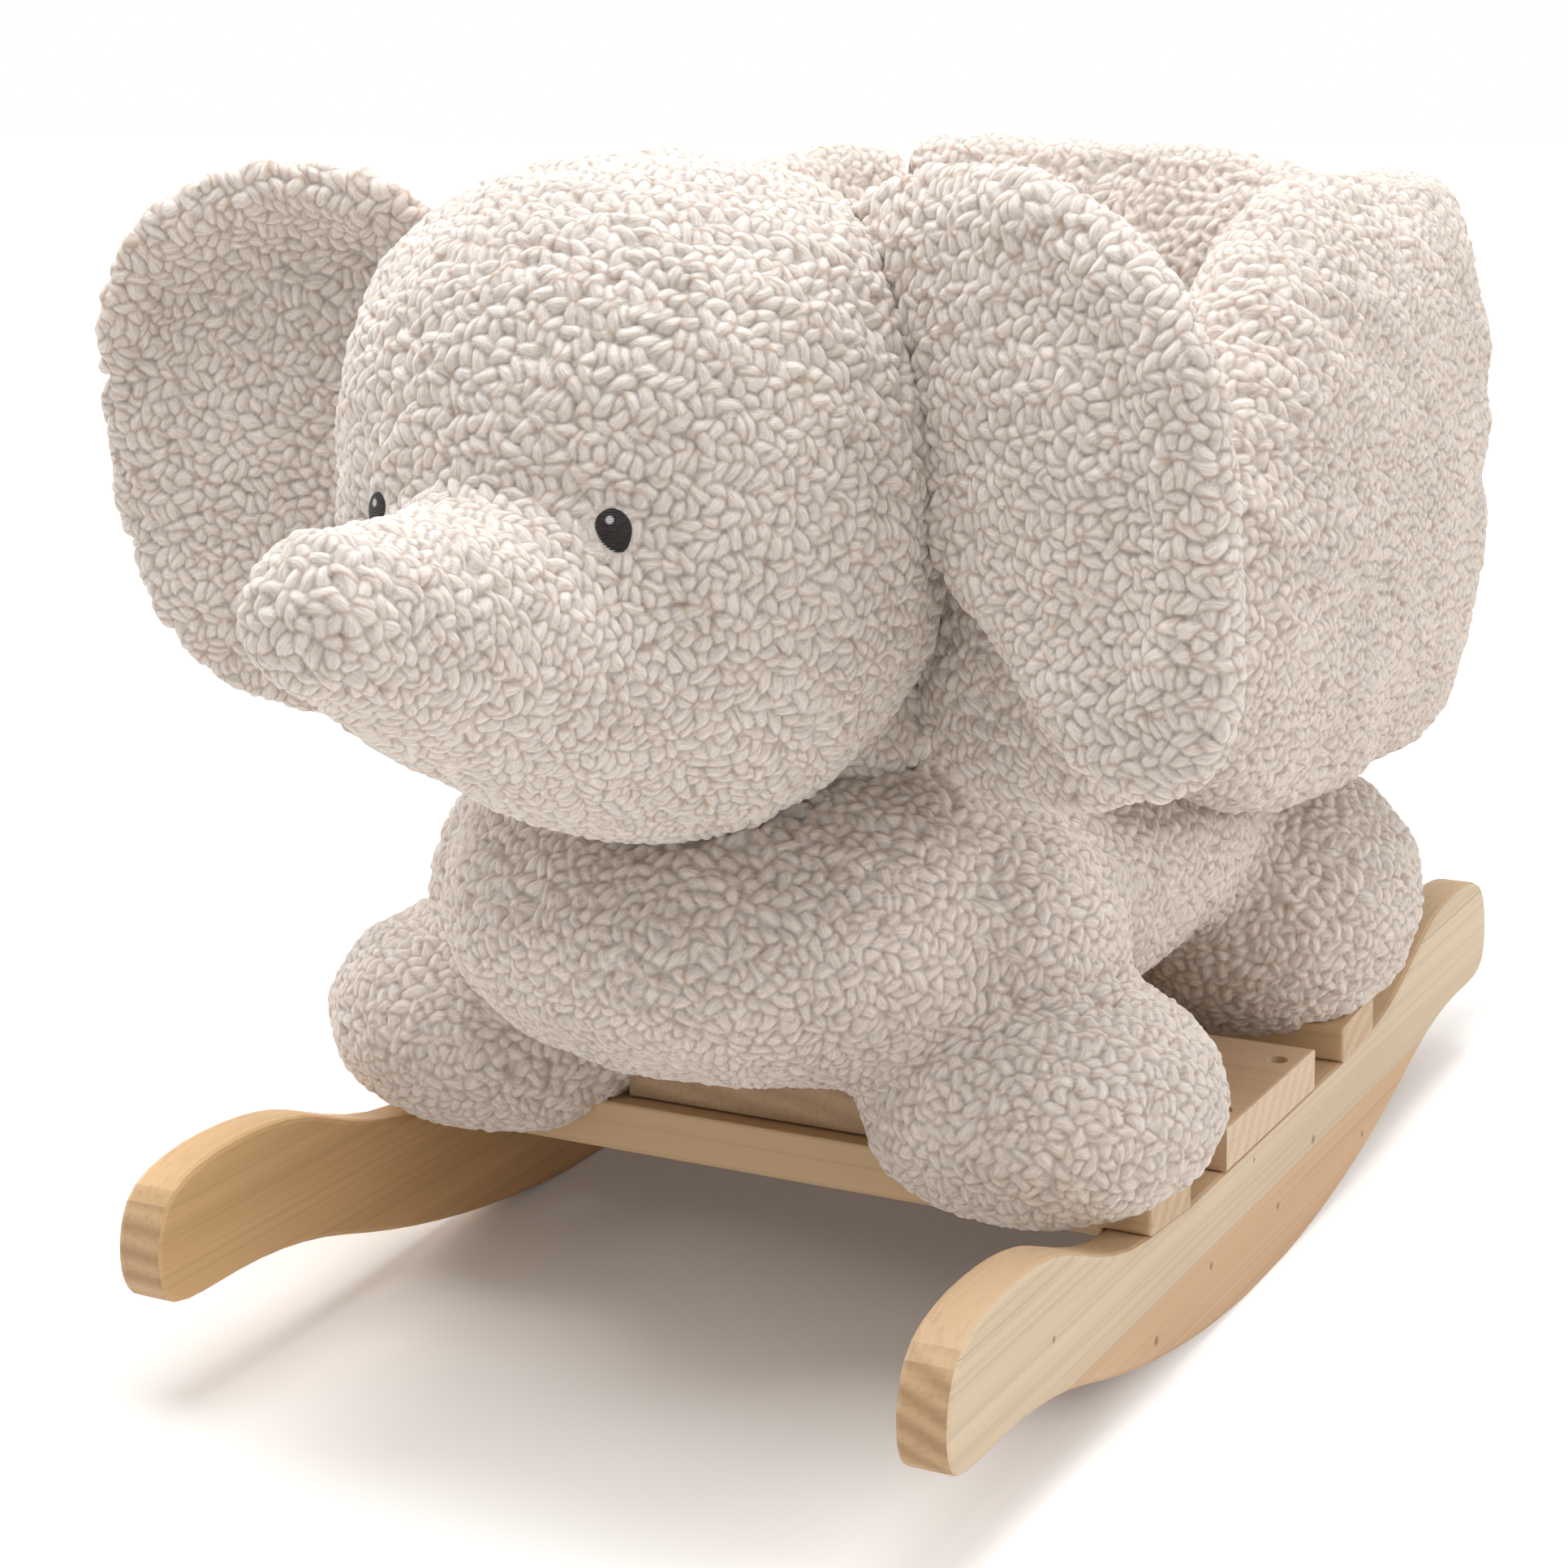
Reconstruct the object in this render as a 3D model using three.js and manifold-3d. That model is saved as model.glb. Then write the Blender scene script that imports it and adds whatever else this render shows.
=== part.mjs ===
// A rocking elephant: a stuffed elephant with a tub seat, standing on a frame of two wooden rockers.
// Sizes are in millimetres. X points to the elephant's left, Y to its tail and Z up.
import * as THREE from "three";
import { mergeVertices } from "three/addons/utils/BufferGeometryUtils.js";
import Module from "manifold-3d";

const wasm = await Module();
wasm.setup();

// Clearances
const seatGap = 0.3; // between two pieces that rest on each other
const plushGap = 0.4; // between a stuffed piece and what it is sewn to or pressed on
const screwGap = 0.2; // round a screw's shank and head
const earGap = 0.7; // between an ear's root and the head, all through its swing
const overrun = 4; // how far a cut runs past the face that it starts from

// Rocker
const rockerLength = 600;
const rockerThickness = 19;
const frameWidth = 334; // over the outer faces of both rockers
const rockRadius = 580;
const restFlat = 46; // flat at the lowest point of the arc
const arcReach = 185; // half-length of the arc
const topHeight = 61; // floor to the flat top
const tipHeight = 93; // floor to the top of the tips
const flatReach = 88; // half-length of the flat top
const railSeat = 42; // length of the sloping seat of a rail
const railTilt = THREE.MathUtils.degToRad(4);
const rockerEasing = 2.2;
// Curves of a tip from the arc to the rail's seat: two handles and an end, in shares of half the
// length and of the tips' height
const tipShares = [
  [0.693, 0.402, 0.773, 0.443, 0.85, 0.443],
  [0.917, 0.443, 0.963, 0.425, 0.984, 0.489],
  [0.994, 0.519, 1, 0.581, 1, 0.645],
  [1, 0.731, 0.993, 0.812, 0.979, 0.874],
  [0.958, 0.968, 0.893, 1, 0.833, 1],
  [0.77, 1, 0.713, 0.973, 0.669, 0.917],
];
const lastHandleShare = [0.607, 0.839];
const seatHandleShare = 0.7;

// Rails and centre board
const railDepth = 40.5;
const railThickness = 16;
const railRebate = 3.5; // how far a rail hangs down between the rockers
const boardWidth = 102;
const boardThickness = 18;
const boardEasing = 1.2;

// Wood screws with a sunk head
const screwHeadRadius = 4.2;
const screwHeadHeight = 2.6;
const screwShankRadius = 2.2;
const screwPoint = 5;
const sinkDepth = 4; // from the board's face to the top of the head
const recessWidth = 1;
const recessDepth = 1.1;
const recessShare = 0.62; // length of the cross in the head
const frameScrewLength = 42;
const boardScrewSpacing = 64;
const shortScrewLength = 26;
const plyScrewLength = 30;
const plySink = 0.4;

// Inner woodwork of the stuffed body
const spineWidth = 116;
const spineLength = 236;
const spineThickness = 18;
const spineScrewSpacing = 76;
const riserWidth = 140;
const riserThickness = 15;
const riserReach = 96; // middle of the body to the outer face of a riser
const seatHeight = 226; // floor to the top of the seat board
const plyThickness = 12;
const seatBoardCorner = 70;
const postWidth = 44;
const postThickness = 34;
const postTop = 392;
const postScrewSpacing = 60;
const sideBoardFront = 20;
const sideBoardRear = 168;
const sideBoardTop = 372;
const sideBoardScrewSpacing = 120;
const backBoardWidth = 170;
const backBoardTop = 394;
const backBoardDrop = 18; // how far it hangs below the seat board
const backScrewSpacing = 100;
const plyEasing = 14;

// Handle
const handleLength = 330;
const handleRadius = 11;
const handleHeight = 345;
const handleEnd = 4;

// Stuffed torso
const torsoHalfWidth = 141;
const torsoHalfLength = 241;
const torsoHalfHeight = 77;
const torsoHeight = 168;
const torsoShift = 5;
const torsoFullness = { plan: 2.4, above: 2.4, below: 2.4 };

// Head
const headHalfWidth = 106;
const headHalfDepth = 106;
const headHalfHeight = 117;
const headHeight = 332;
const headForward = 187;
const headFullness = { plan: 2, above: 2.6, below: 2.15 };

// Neck: the stuffing round the post, from the torso up into the head
const neckHalfWidth = 56;
const neckHalfDepth = 40;
const neckHalfHeight = 58;
const neckRise = 32; // top of the seat board to the middle of the neck
const neckForward = 126;

// Trunk, from its root in the face to its blunt tip
const trunkTipRadius = 24;
const trunkRootRadius = 63;
const trunkReach = 397; // middle of the rockers to the front of the tip
const trunkTipHeight = 332;
const trunkRootForward = 235;
const trunkRootHeight = 289;
const trunkSagDepth = 2;

// Ears
const earWidth = 160;
const earHalfHeight = 100;
const earHeight = 341;
const earThickness = 27;
const earRootHalfWidth = 101;
const earRootForward = 153;
const earFlare = THREE.MathUtils.degToRad(20);
const earInset = 27; // how far the disc's inner edge lies inside the hinge line
const earCup = 14;
const earFullness = 2.3;
const earSwingBack = THREE.MathUtils.degToRad(20);
const earSwingFront = THREE.MathUtils.degToRad(30);
const earSwingCount = 4;

// Eyes
const eyeHalfWidth = 6.2;
const eyeHalfHeight = 7.6;
const eyeThickness = 1.2;
const eyeOffset = 46;
const eyeHeight = 341;
const eyeFullness = { plan: 2, above: 3, below: 3 };

// Legs
const footHalfWidth = 66;
const footHalfLength = 64;
const footHalfHeight = 44;
const footOffset = 120;
const footReach = 118;
const footHeight = 106;
const shoulderRadius = 54;
const shoulderOffset = 90;
const shoulderReach = 106;
const shoulderDrop = 56; // underside of the seat board to the middle of a shoulder
const thighRiseHeight = 14; // how much fuller the rear legs stand
const legFullness = { plan: 2.2, above: 2.3, below: 2.3 };

// Tub seat
const tubHalfWidth = 150; // middle of the body to the middle of a wing
const tubStraight = 121;
const tubBack = 255; // middle of the rockers to the middle of the backrest
const tubNose = 90; // how far the wings reach to the front
const tubInner = 27;
const tubOuter = 40;
const tubTop = 430;
const tubBottom = 176;
const tubCornerFullness = 3; // fullness of the corners in plan
const tubFullness = 2.4; // fullness of the wall's section
// Wing from nose to corner: place along it, top, bottom and thickness
const wingShares = [
  [0, 0.47, 0.38, 0.12],
  [0.015, 0.55, 0.29, 0.42],
  [0.05, 0.655, 0.195, 0.68],
  [0.11, 0.765, 0.125, 0.85],
  [0.2, 0.895, 0.07, 0.96],
  [0.32, 0.985, 0.03, 1],
  [0.46, 1, 0.008, 1],
  [0.6, 1, 0, 1],
  [0.7, 0.995, 0, 1],
  [0.8, 0.985, 0.005, 1],
  [0.87, 0.975, 0.01, 1],
  [0.94, 0.96, 0.02, 0.99],
  [1, 0.94, 0.03, 0.98],
];

// Backrest from a corner to its middle, in the same way
const backShares = [
  [0, 0.95, 0.03, 0.98],
  [0.2, 0.98, 0.01, 1],
  [0.42, 0.995, 0, 1],
  [0.7, 1, 0, 1],
  [1, 1, 0, 1],
];

// Seat cushion
const cushionThickness = 30;
const cushionCrown = 9;
const cushionHalfWidth = 124;
const cushionFront = 82;
const cushionRear = 226;
const cushionPull = 5; // how far the sides draw in between the corners
const channelDepth = 4;
const channelWidth = 9;
const channelSpacing = 58;
const cushionPlanFullness = 6; // fullness of its corners in plan
const cushionEdgeFullness = 3.4; // fullness of its section
const channelSpreadShare = 0.12; // how wide a channel's valley opens
// Sections at a channel, in shares of its width, and at an end, in shares of half the length
const stationShares = [-1, -0.35, 0.35, 1];
const endShares = [0.9, 0.97, 0.995, 0.9999];

// Tail
const tailRadius = 8;
const tailTuftRadius = 13;
const tailRootHeight = 158;
const tailDrop = 56;
const tailReach = 262;

// Facets of the round forms: how many around, and how many from end to end
const tipCurveCount = 5;
const torsoFacets = [28, 13];
const headFacets = [24, 15];
const neckFacets = [14, 7];
const trunkFacets = [16, 12];
const earFacets = [22, 5];
const footFacets = [16, 9];
const shoulderFacets = [12, 8];
const tubFacetCount = 16;
const cushionFacetCount = 16;
const tailFacets = [10, 12];
const eyeFacets = [12, 6];

// Finishes
const paleWood = new THREE.MeshStandardMaterial({ color: 0xe3c596, roughness: 0.62, metalness: 0 });
const plywood = new THREE.MeshStandardMaterial({ color: 0xc9a877, roughness: 0.75, metalness: 0 });
const sherpa = new THREE.MeshStandardMaterial({ color: 0xdfd4cd, roughness: 1, metalness: 0 });
const stitching = new THREE.MeshStandardMaterial({ color: 0x4a4446, roughness: 0.5, metalness: 0 });
const zinc = new THREE.MeshStandardMaterial({ color: 0xc2a45e, roughness: 0.35, metalness: 1 });

// Sizes that follow from those above
const halfFrame = frameWidth / 2;
const rockerMiddle = halfFrame - rockerThickness / 2;
const railCrest =
  topHeight + seatGap + railDepth * Math.sin(railTilt) + railThickness * Math.cos(railTilt);
const spineBottom = railCrest + seatGap;
const spineTop = spineBottom + spineThickness;
const seatUnder = seatHeight - plyThickness;
const postRear = riserReach + seatGap;
const postFront = postRear + postThickness;
const postMiddle = (postRear + postFront) / 2;
const backBoardFront = tubBack - plyThickness / 2;
const seatBoardHalf = tubHalfWidth - plyThickness / 2 - seatGap;

// A closed geometry as a solid that can be cut and joined
function solid(geometry) {
  const bare = geometry.clone();
  bare.deleteAttribute("normal");
  bare.deleteAttribute("uv");
  const merged = mergeVertices(bare, 1e-4);
  return new wasm.Manifold(
    new wasm.Mesh({
      numProp: 3,
      vertProperties: new Float32Array(merged.attributes.position.array),
      triVerts: new Uint32Array(merged.index.array),
    }),
  );
}

// A solid as a geometry with its own normal on each facet
function geometryOf(body) {
  const mesh = body.getMesh();
  const geometry = new THREE.BufferGeometry();
  geometry.setAttribute("position", new THREE.BufferAttribute(mesh.vertProperties, 3));
  geometry.setIndex(new THREE.BufferAttribute(mesh.triVerts, 1));
  const facets = geometry.toNonIndexed();
  facets.computeVertexNormals();
  return facets;
}

function cut(body, ...tools) {
  return tools.reduce((left, tool) => left.subtract(tool), body);
}

const part = new THREE.Group();

function addPiece(name, body, material) {
  const mesh = new THREE.Mesh(geometryOf(body), material);
  mesh.name = name;
  part.add(mesh);
  return mesh;
}

// A box between two corners
function block(low, high) {
  const size = high.map((value, axis) => value - low[axis]);
  const geometry = new THREE.BoxGeometry(...size);
  geometry.translate(...low.map((value, axis) => value + size[axis] / 2));
  return solid(geometry);
}

// An outline in the plane of the first two axes, given thickness along the third
function plate(shape, thickness, easing, curveSteps) {
  return new THREE.ExtrudeGeometry(shape, {
    depth: thickness - 2 * easing,
    bevelEnabled: easing > 0,
    bevelThickness: easing,
    bevelSize: easing,
    bevelOffset: -easing,
    bevelSegments: 2,
    curveSegments: curveSteps,
  }).translate(0, 0, easing - thickness / 2);
}

// Closes a stack of rings, each a list of points, with a fan at both ends
function loft(rings) {
  const sides = rings[0].length;
  const points = rings.flat();
  const middles = [rings[0], rings[rings.length - 1]].map((ring) =>
    ring.reduce((sum, point) => sum.add(point), new THREE.Vector3()).divideScalar(sides),
  );
  const index = [];
  for (let r = 0; r + 1 < rings.length; r++) {
    for (let s = 0; s < sides; s++) {
      const a = r * sides + s;
      const b = r * sides + ((s + 1) % sides);
      index.push(a, b, b + sides, a, b + sides, a + sides);
    }
  }
  const first = points.length;
  const lastRing = (rings.length - 1) * sides;
  for (let s = 0; s < sides; s++) {
    const next = (s + 1) % sides;
    index.push(first, next, s, first + 1, lastRing + s, lastRing + next);
  }
  const geometry = new THREE.BufferGeometry().setFromPoints([...points, ...middles]);
  geometry.setIndex(index);
  const body = solid(geometry);
  return body.volume() < 0 ? solid(flipped(geometry)) : body;
}

function flipped(geometry) {
  const index = [...geometry.index.array];
  for (let i = 0; i < index.length; i += 3) [index[i + 1], index[i + 2]] = [index[i + 2], index[i + 1]];
  return geometry.clone().setIndex(index);
}

// A stuffed ball: an ellipsoid that is fuller than a true one, by its own amount in plan, above
// and below
function stuffedBall(radii, fullness, around, down) {
  const geometry = new THREE.SphereGeometry(1, around, down);
  geometry.rotateX(Math.PI / 2);
  const place = geometry.attributes.position;
  for (let i = 0; i < place.count; i++) {
    const way = new THREE.Vector3().fromBufferAttribute(place, i);
    const blend = THREE.MathUtils.smoothstep(way.z, -1, 1);
    const upright = THREE.MathUtils.lerp(fullness.below, fullness.above, blend);
    way.multiplyScalar(reach(way, radii, fullness.plan, upright));
    place.setXYZ(i, way.x, way.y, way.z);
  }
  return solid(geometry);
}

// How far a stuffed ball reaches along a direction
function reach(way, radii, plan, upright) {
  const level = Math.abs(way.x / radii[0]) ** plan + Math.abs(way.y / radii[1]) ** plan;
  return (level ** (upright / plan) + Math.abs(way.z / radii[2]) ** upright) ** (-1 / upright);
}

// A point of a full ellipse at an angle
function fullEllipse(angle, power) {
  const c = Math.cos(angle);
  const s = Math.sin(angle);
  return [Math.sign(c) * Math.abs(c) ** (2 / power), Math.sign(s) * Math.abs(s) ** (2 / power)];
}

// Outline of a rocker, drawn as the half behind the middle and mirrored
function rockerShape() {
  const half = rockerLength / 2;
  const restAngle = Math.asin(restFlat / 2 / rockRadius);
  const arcAngle = Math.asin(arcReach / rockRadius);
  const centre = rockRadius * Math.cos(restAngle);
  const seatEnd = flatReach + railSeat * Math.cos(railTilt);
  const seatEndHeight = topHeight + railSeat * Math.sin(railTilt);
  const handle = railSeat * seatHandleShare;
  const path = new THREE.Path();
  path.moveTo(restFlat / 2, 0);
  path.absarc(0, centre, rockRadius, restAngle - Math.PI / 2, arcAngle - Math.PI / 2, false);
  for (const [au, av, bu, bv, u, v] of tipShares) {
    path.bezierCurveTo(au * half, av * tipHeight, bu * half, bv * tipHeight, u * half, v * tipHeight);
  }
  path.bezierCurveTo(
    lastHandleShare[0] * half,
    lastHandleShare[1] * tipHeight,
    seatEnd + handle * Math.cos(railTilt),
    seatEndHeight + handle * Math.sin(railTilt),
    seatEnd,
    seatEndHeight,
  );
  path.lineTo(flatReach, topHeight);
  const points = path
    .getPoints(tipCurveCount)
    .filter((point, i, all) => i === 0 || point.distanceTo(all[i - 1]) > seatGap);
  const mirrored = points.map((point) => new THREE.Vector2(-point.x, point.y)).reverse();
  return new THREE.Shape([...points, ...mirrored]);
}

// A rocker stands in the plane of Y and Z; grow thickens it for cutting what lies on it
function rockerBlank(side, grow) {
  const easing = grow > 0 ? 0 : rockerEasing;
  const geometry = plate(rockerShape(), rockerThickness + 2 * grow, easing, 1);
  geometry.rotateY(Math.PI / 2);
  geometry.rotateX(Math.PI / 2);
  geometry.translate(side * rockerMiddle, 0, grow);
  return solid(geometry);
}

// A point of a rail's own frame, along X, along its depth and up, placed on its sloping seat
function railPlace(end) {
  const place = new THREE.Matrix4().makeRotationX(end * railTilt);
  place.setPosition(0, end * flatReach, topHeight);
  return place;
}

// Rail that is rebated at both ends, so that it drops in between the rockers
function railBlank(end, grow) {
  const inside = halfFrame - rockerThickness - seatGap + grow;
  const out = halfFrame + grow;
  const low = seatGap - grow;
  const hang = low - railRebate;
  const high = seatGap + railThickness + grow;
  const shape = new THREE.Shape();
  shape.moveTo(-out, low);
  shape.lineTo(-inside, low);
  shape.lineTo(-inside, hang);
  shape.lineTo(inside, hang);
  shape.lineTo(inside, low);
  shape.lineTo(out, low);
  shape.lineTo(out, high);
  shape.lineTo(-out, high);
  const geometry = plate(shape, railDepth + 2 * grow, grow > 0 ? 0 : boardEasing, 1);
  geometry.rotateX(Math.PI / 2);
  geometry.translate(0, (end * railDepth) / 2, 0);
  geometry.applyMatrix4(railPlace(end));
  return solid(geometry);
}

function roundedPlate(halfWidth, low, high, thickness, corner, easing) {
  const shape = new THREE.Shape();
  shape.moveTo(-halfWidth + corner, low);
  shape.lineTo(halfWidth - corner, low);
  shape.absarc(halfWidth - corner, low + corner, corner, -Math.PI / 2, 0, false);
  shape.lineTo(halfWidth, high - corner);
  shape.absarc(halfWidth - corner, high - corner, corner, 0, Math.PI / 2, false);
  shape.lineTo(-halfWidth + corner, high);
  shape.absarc(-halfWidth + corner, high - corner, corner, Math.PI / 2, Math.PI, false);
  shape.lineTo(-halfWidth, low + corner);
  shape.absarc(-halfWidth + corner, low + corner, corner, Math.PI, 1.5 * Math.PI, false);
  return plate(shape, thickness, easing, 4);
}

// A screw points down from the origin, which is the face of the board; its head is sunk below it
function screwProfile(length, sink, grow) {
  const head = screwHeadRadius + grow;
  const shank = screwShankRadius + grow;
  const top = grow > 0 ? overrun : -sink;
  const under = -sink - screwHeadHeight - grow;
  const tip = -length - grow;
  return [
    [0, top],
    [head, top],
    [head, -sink - screwHeadHeight / 3],
    [shank, under],
    [shank, tip + screwPoint],
    [0, tip],
  ].map(([r, z]) => new THREE.Vector2(r, z));
}

function screwBody(length, sink, grow, sides) {
  const geometry = new THREE.LatheGeometry(screwProfile(length, sink, grow).reverse(), sides);
  geometry.rotateX(Math.PI / 2);
  return solid(geometry);
}

function crossRecess(sink) {
  const arm = screwHeadRadius * recessShare;
  const half = recessWidth / 2;
  const low = -sink - recessDepth;
  return block([-arm, -half, low], [arm, half, overrun]).add(
    block([-half, -arm, low], [half, arm, overrun]),
  );
}

// All screws of the part: where each stands, what it is and which boards it goes through
const screws = [];

function placeScrew(name, matrix, length, sink, recess) {
  const sides = recess ? 16 : 10;
  const local = screwBody(length, sink, 0, sides);
  const whole = recess ? cut(local, crossRecess(sink)) : local;
  const hole = screwBody(length, sink, screwGap, sides);
  screws.push({ name, body: whole.transform(matrix.elements), hole: hole.transform(matrix.elements) });
}

function standing(x, y, z) {
  return new THREE.Matrix4().makeTranslation(x, y, z);
}

// A screw that lies along an axis and points the way of the vector
function lying(x, y, z, way) {
  const down = new THREE.Vector3(0, 0, -1);
  const turn = new THREE.Quaternion().setFromUnitVectors(down, way);
  return new THREE.Matrix4().makeRotationFromQuaternion(turn).setPosition(x, y, z);
}

function placeFrameScrews() {
  for (const side of [-1, 1]) {
    const hand = side > 0 ? "left" : "right";
    for (const end of [-1, 1]) {
      const where = end < 0 ? "front" : "rear";
      const top = topHeight + seatGap + boardThickness;
      const onBoard = standing(side * rockerMiddle, (end * boardScrewSpacing) / 2, top);
      placeScrew(`board_screw_${where}_${hand}`, onBoard, frameScrewLength, sinkDepth, true);
      const onRail = railPlace(end).multiply(
        standing(side * rockerMiddle, (end * railDepth) / 2, seatGap + railThickness),
      );
      placeScrew(`rail_screw_${where}_${hand}`, onRail, frameScrewLength, sinkDepth, true);
      const reachOfSpine = flatReach + railDepth / 2;
      const onSpine = standing((side * spineScrewSpacing) / 2, end * reachOfSpine, spineTop);
      placeScrew(`spine_screw_${where}_${hand}`, onSpine, shortScrewLength, plySink, false);
      const onSide = lying(
        side * (tubHalfWidth + plyThickness / 2),
        sideMiddle() + (end * sideBoardScrewSpacing) / 2,
        seatHeight - plyThickness / 2,
        new THREE.Vector3(-side, 0, 0),
      );
      placeScrew(`side_board_screw_${where}_${hand}`, onSide, plyScrewLength, plySink, false);
    }
    const onBack = lying(
      (side * backScrewSpacing) / 2,
      tubBack + plyThickness / 2,
      seatHeight - plyThickness / 2,
      new THREE.Vector3(0, -1, 0),
    );
    placeScrew(`back_board_screw_${hand}`, onBack, plyScrewLength, plySink, false);
  }
  for (const level of [-1, 1]) {
    const middle = (spineTop + seatUnder) / 2;
    const onPost = lying(
      0,
      -postFront,
      middle + (level * postScrewSpacing) / 2,
      new THREE.Vector3(0, 1, 0),
    );
    placeScrew(`post_screw_${level < 0 ? "low" : "high"}`, onPost, frameScrewLength, plySink, false);
  }
}

function sideMiddle() {
  return (sideBoardRear - sideBoardFront) / 2;
}

function drilled(body) {
  return cut(body, ...screws.map((screw) => screw.hole));
}

function addFrame() {
  for (const side of [-1, 1]) {
    addPiece(side > 0 ? "rocker_left" : "rocker_right", drilled(rockerBlank(side, 0)), paleWood);
  }
  for (const end of [-1, 1]) {
    addPiece(end < 0 ? "front_rail" : "rear_rail", drilled(railBlank(end, 0)), paleWood);
  }
  addPiece("centre_board", drilled(centreBoard(0)), paleWood);
}

function centreBoard(grow) {
  const out = halfFrame + grow;
  const half = boardWidth / 2 + grow;
  const corners = [
    [-out, -half],
    [out, -half],
    [out, half],
    [-out, half],
  ].map(([x, y]) => new THREE.Vector2(x, y));
  const easing = grow > 0 ? 0 : boardEasing;
  const geometry = plate(new THREE.Shape(corners), boardThickness + 2 * grow, easing, 1);
  geometry.translate(0, 0, topHeight + seatGap + boardThickness / 2);
  return solid(geometry);
}

function spineBoard(grow) {
  const half = spineLength / 2;
  return block(
    [-spineWidth / 2 - grow, -half - grow, spineBottom - grow],
    [spineWidth / 2 + grow, half + grow, spineTop + grow],
  );
}

function riser(end, grow) {
  const near = riserReach - riserThickness - grow;
  const far = riserReach + grow;
  return block(
    [-riserWidth / 2 - grow, Math.min(end * near, end * far), spineTop + seatGap - grow],
    [riserWidth / 2 + grow, Math.max(end * near, end * far), seatUnder - seatGap + grow],
  );
}

function seatBoard(grow) {
  const geometry = roundedPlate(
    seatBoardHalf + grow,
    -riserReach - grow,
    backBoardFront - seatGap + grow,
    plyThickness + 2 * grow,
    seatBoardCorner,
    0,
  );
  geometry.translate(0, 0, seatHeight - plyThickness / 2);
  return solid(geometry);
}

function sideBoard(side, grow) {
  const middle = sideMiddle();
  const geometry = roundedPlate(
    (sideBoardRear + sideBoardFront) / 2 + grow,
    seatUnder - plyThickness - grow,
    sideBoardTop + grow,
    plyThickness + 2 * grow,
    plyEasing,
    0,
  );
  geometry.rotateX(Math.PI / 2);
  geometry.rotateZ(Math.PI / 2);
  geometry.translate(side * tubHalfWidth, middle, 0);
  return solid(geometry);
}

function backBoard(grow) {
  const geometry = roundedPlate(
    backBoardWidth / 2 + grow,
    seatUnder - backBoardDrop - grow,
    backBoardTop + grow,
    plyThickness + 2 * grow,
    plyEasing,
    0,
  );
  geometry.rotateX(Math.PI / 2);
  geometry.translate(0, tubBack, 0);
  return solid(geometry);
}

function neckPost(grow) {
  return block(
    [-postWidth / 2 - grow, -postFront - grow, spineTop + seatGap - grow],
    [postWidth / 2 + grow, -postRear + grow, postTop + grow],
  );
}

function handleBar(grow) {
  const half = handleLength / 2 + grow;
  const radius = handleRadius + grow;
  const profile = [
    [0, -half],
    [radius - handleEnd, -half],
    [radius, -half + handleEnd],
    [radius, half - handleEnd],
    [radius - handleEnd, half],
    [0, half],
  ].map(([r, along]) => new THREE.Vector2(r, along));
  const geometry = new THREE.LatheGeometry(profile, 24);
  geometry.rotateZ(Math.PI / 2);
  geometry.translate(0, -postMiddle, handleHeight);
  return solid(geometry);
}

function addWoodwork() {
  addPiece("spine_board", drilled(spineBoard(0)), paleWood);
  addPiece("front_riser", drilled(riser(-1, 0)), paleWood);
  addPiece("rear_riser", drilled(riser(1, 0)), paleWood);
  addPiece("seat_board", drilled(seatBoard(0)), plywood);
  addPiece("side_board_left", drilled(sideBoard(1, 0)), plywood);
  addPiece("side_board_right", drilled(sideBoard(-1, 0)), plywood);
  addPiece("back_board", drilled(backBoard(0)), plywood);
  addPiece("neck_post", cut(drilled(neckPost(0)), handleBar(seatGap)), paleWood);
  addPiece("handle_bar", handleBar(0), paleWood);
  for (const screw of screws) addPiece(screw.name, screw.body, zinc);
}

function torsoForm(grow) {
  const radii = [torsoHalfWidth + grow, torsoHalfLength + grow, torsoHalfHeight + grow];
  const form = stuffedBall(radii, torsoFullness, ...torsoFacets);
  const placed = form.translate([0, torsoShift, torsoHeight]);
  return cut(placed, seatRoof(-riserReach - plushGap + grow, plushGap - grow));
}

// All the room above the underside of the seat board, from a place along the body to its rear
function seatRoof(front, gap) {
  const wide = tubHalfWidth + tubOuter + overrun;
  const rear = tubBack + tubOuter + overrun;
  return block([-wide, front, seatUnder - gap], [wide, rear, tubTop]);
}

// Room that the inner woodwork takes in the stuffing
function woodRoom() {
  return [
    spineBoard(plushGap),
    riser(-1, plushGap),
    riser(1, plushGap),
    seatBoard(plushGap),
    sideBoard(-1, plushGap),
    sideBoard(1, plushGap),
    backBoard(plushGap),
    neckPost(plushGap),
    handleBar(plushGap),
  ];
}

// Frame pieces that the feet rest on
function frameRoom() {
  return [
    rockerBlank(-1, plushGap),
    rockerBlank(1, plushGap),
    railBlank(-1, plushGap),
    railBlank(1, plushGap),
    centreBoard(plushGap),
  ];
}

function headForm(grow) {
  const radii = [headHalfWidth + grow, headHalfDepth + grow, headHalfHeight + grow];
  const head = stuffedBall(radii, headFullness, ...headFacets);
  const neckRadii = [neckHalfWidth + grow, neckHalfDepth + grow, neckHalfHeight + grow];
  const neck = stuffedBall(neckRadii, legFullness, ...neckFacets);
  return head
    .translate([0, -headForward, headHeight])
    .add(neck.translate([0, -neckForward, seatHeight + neckRise]));
}

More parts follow.
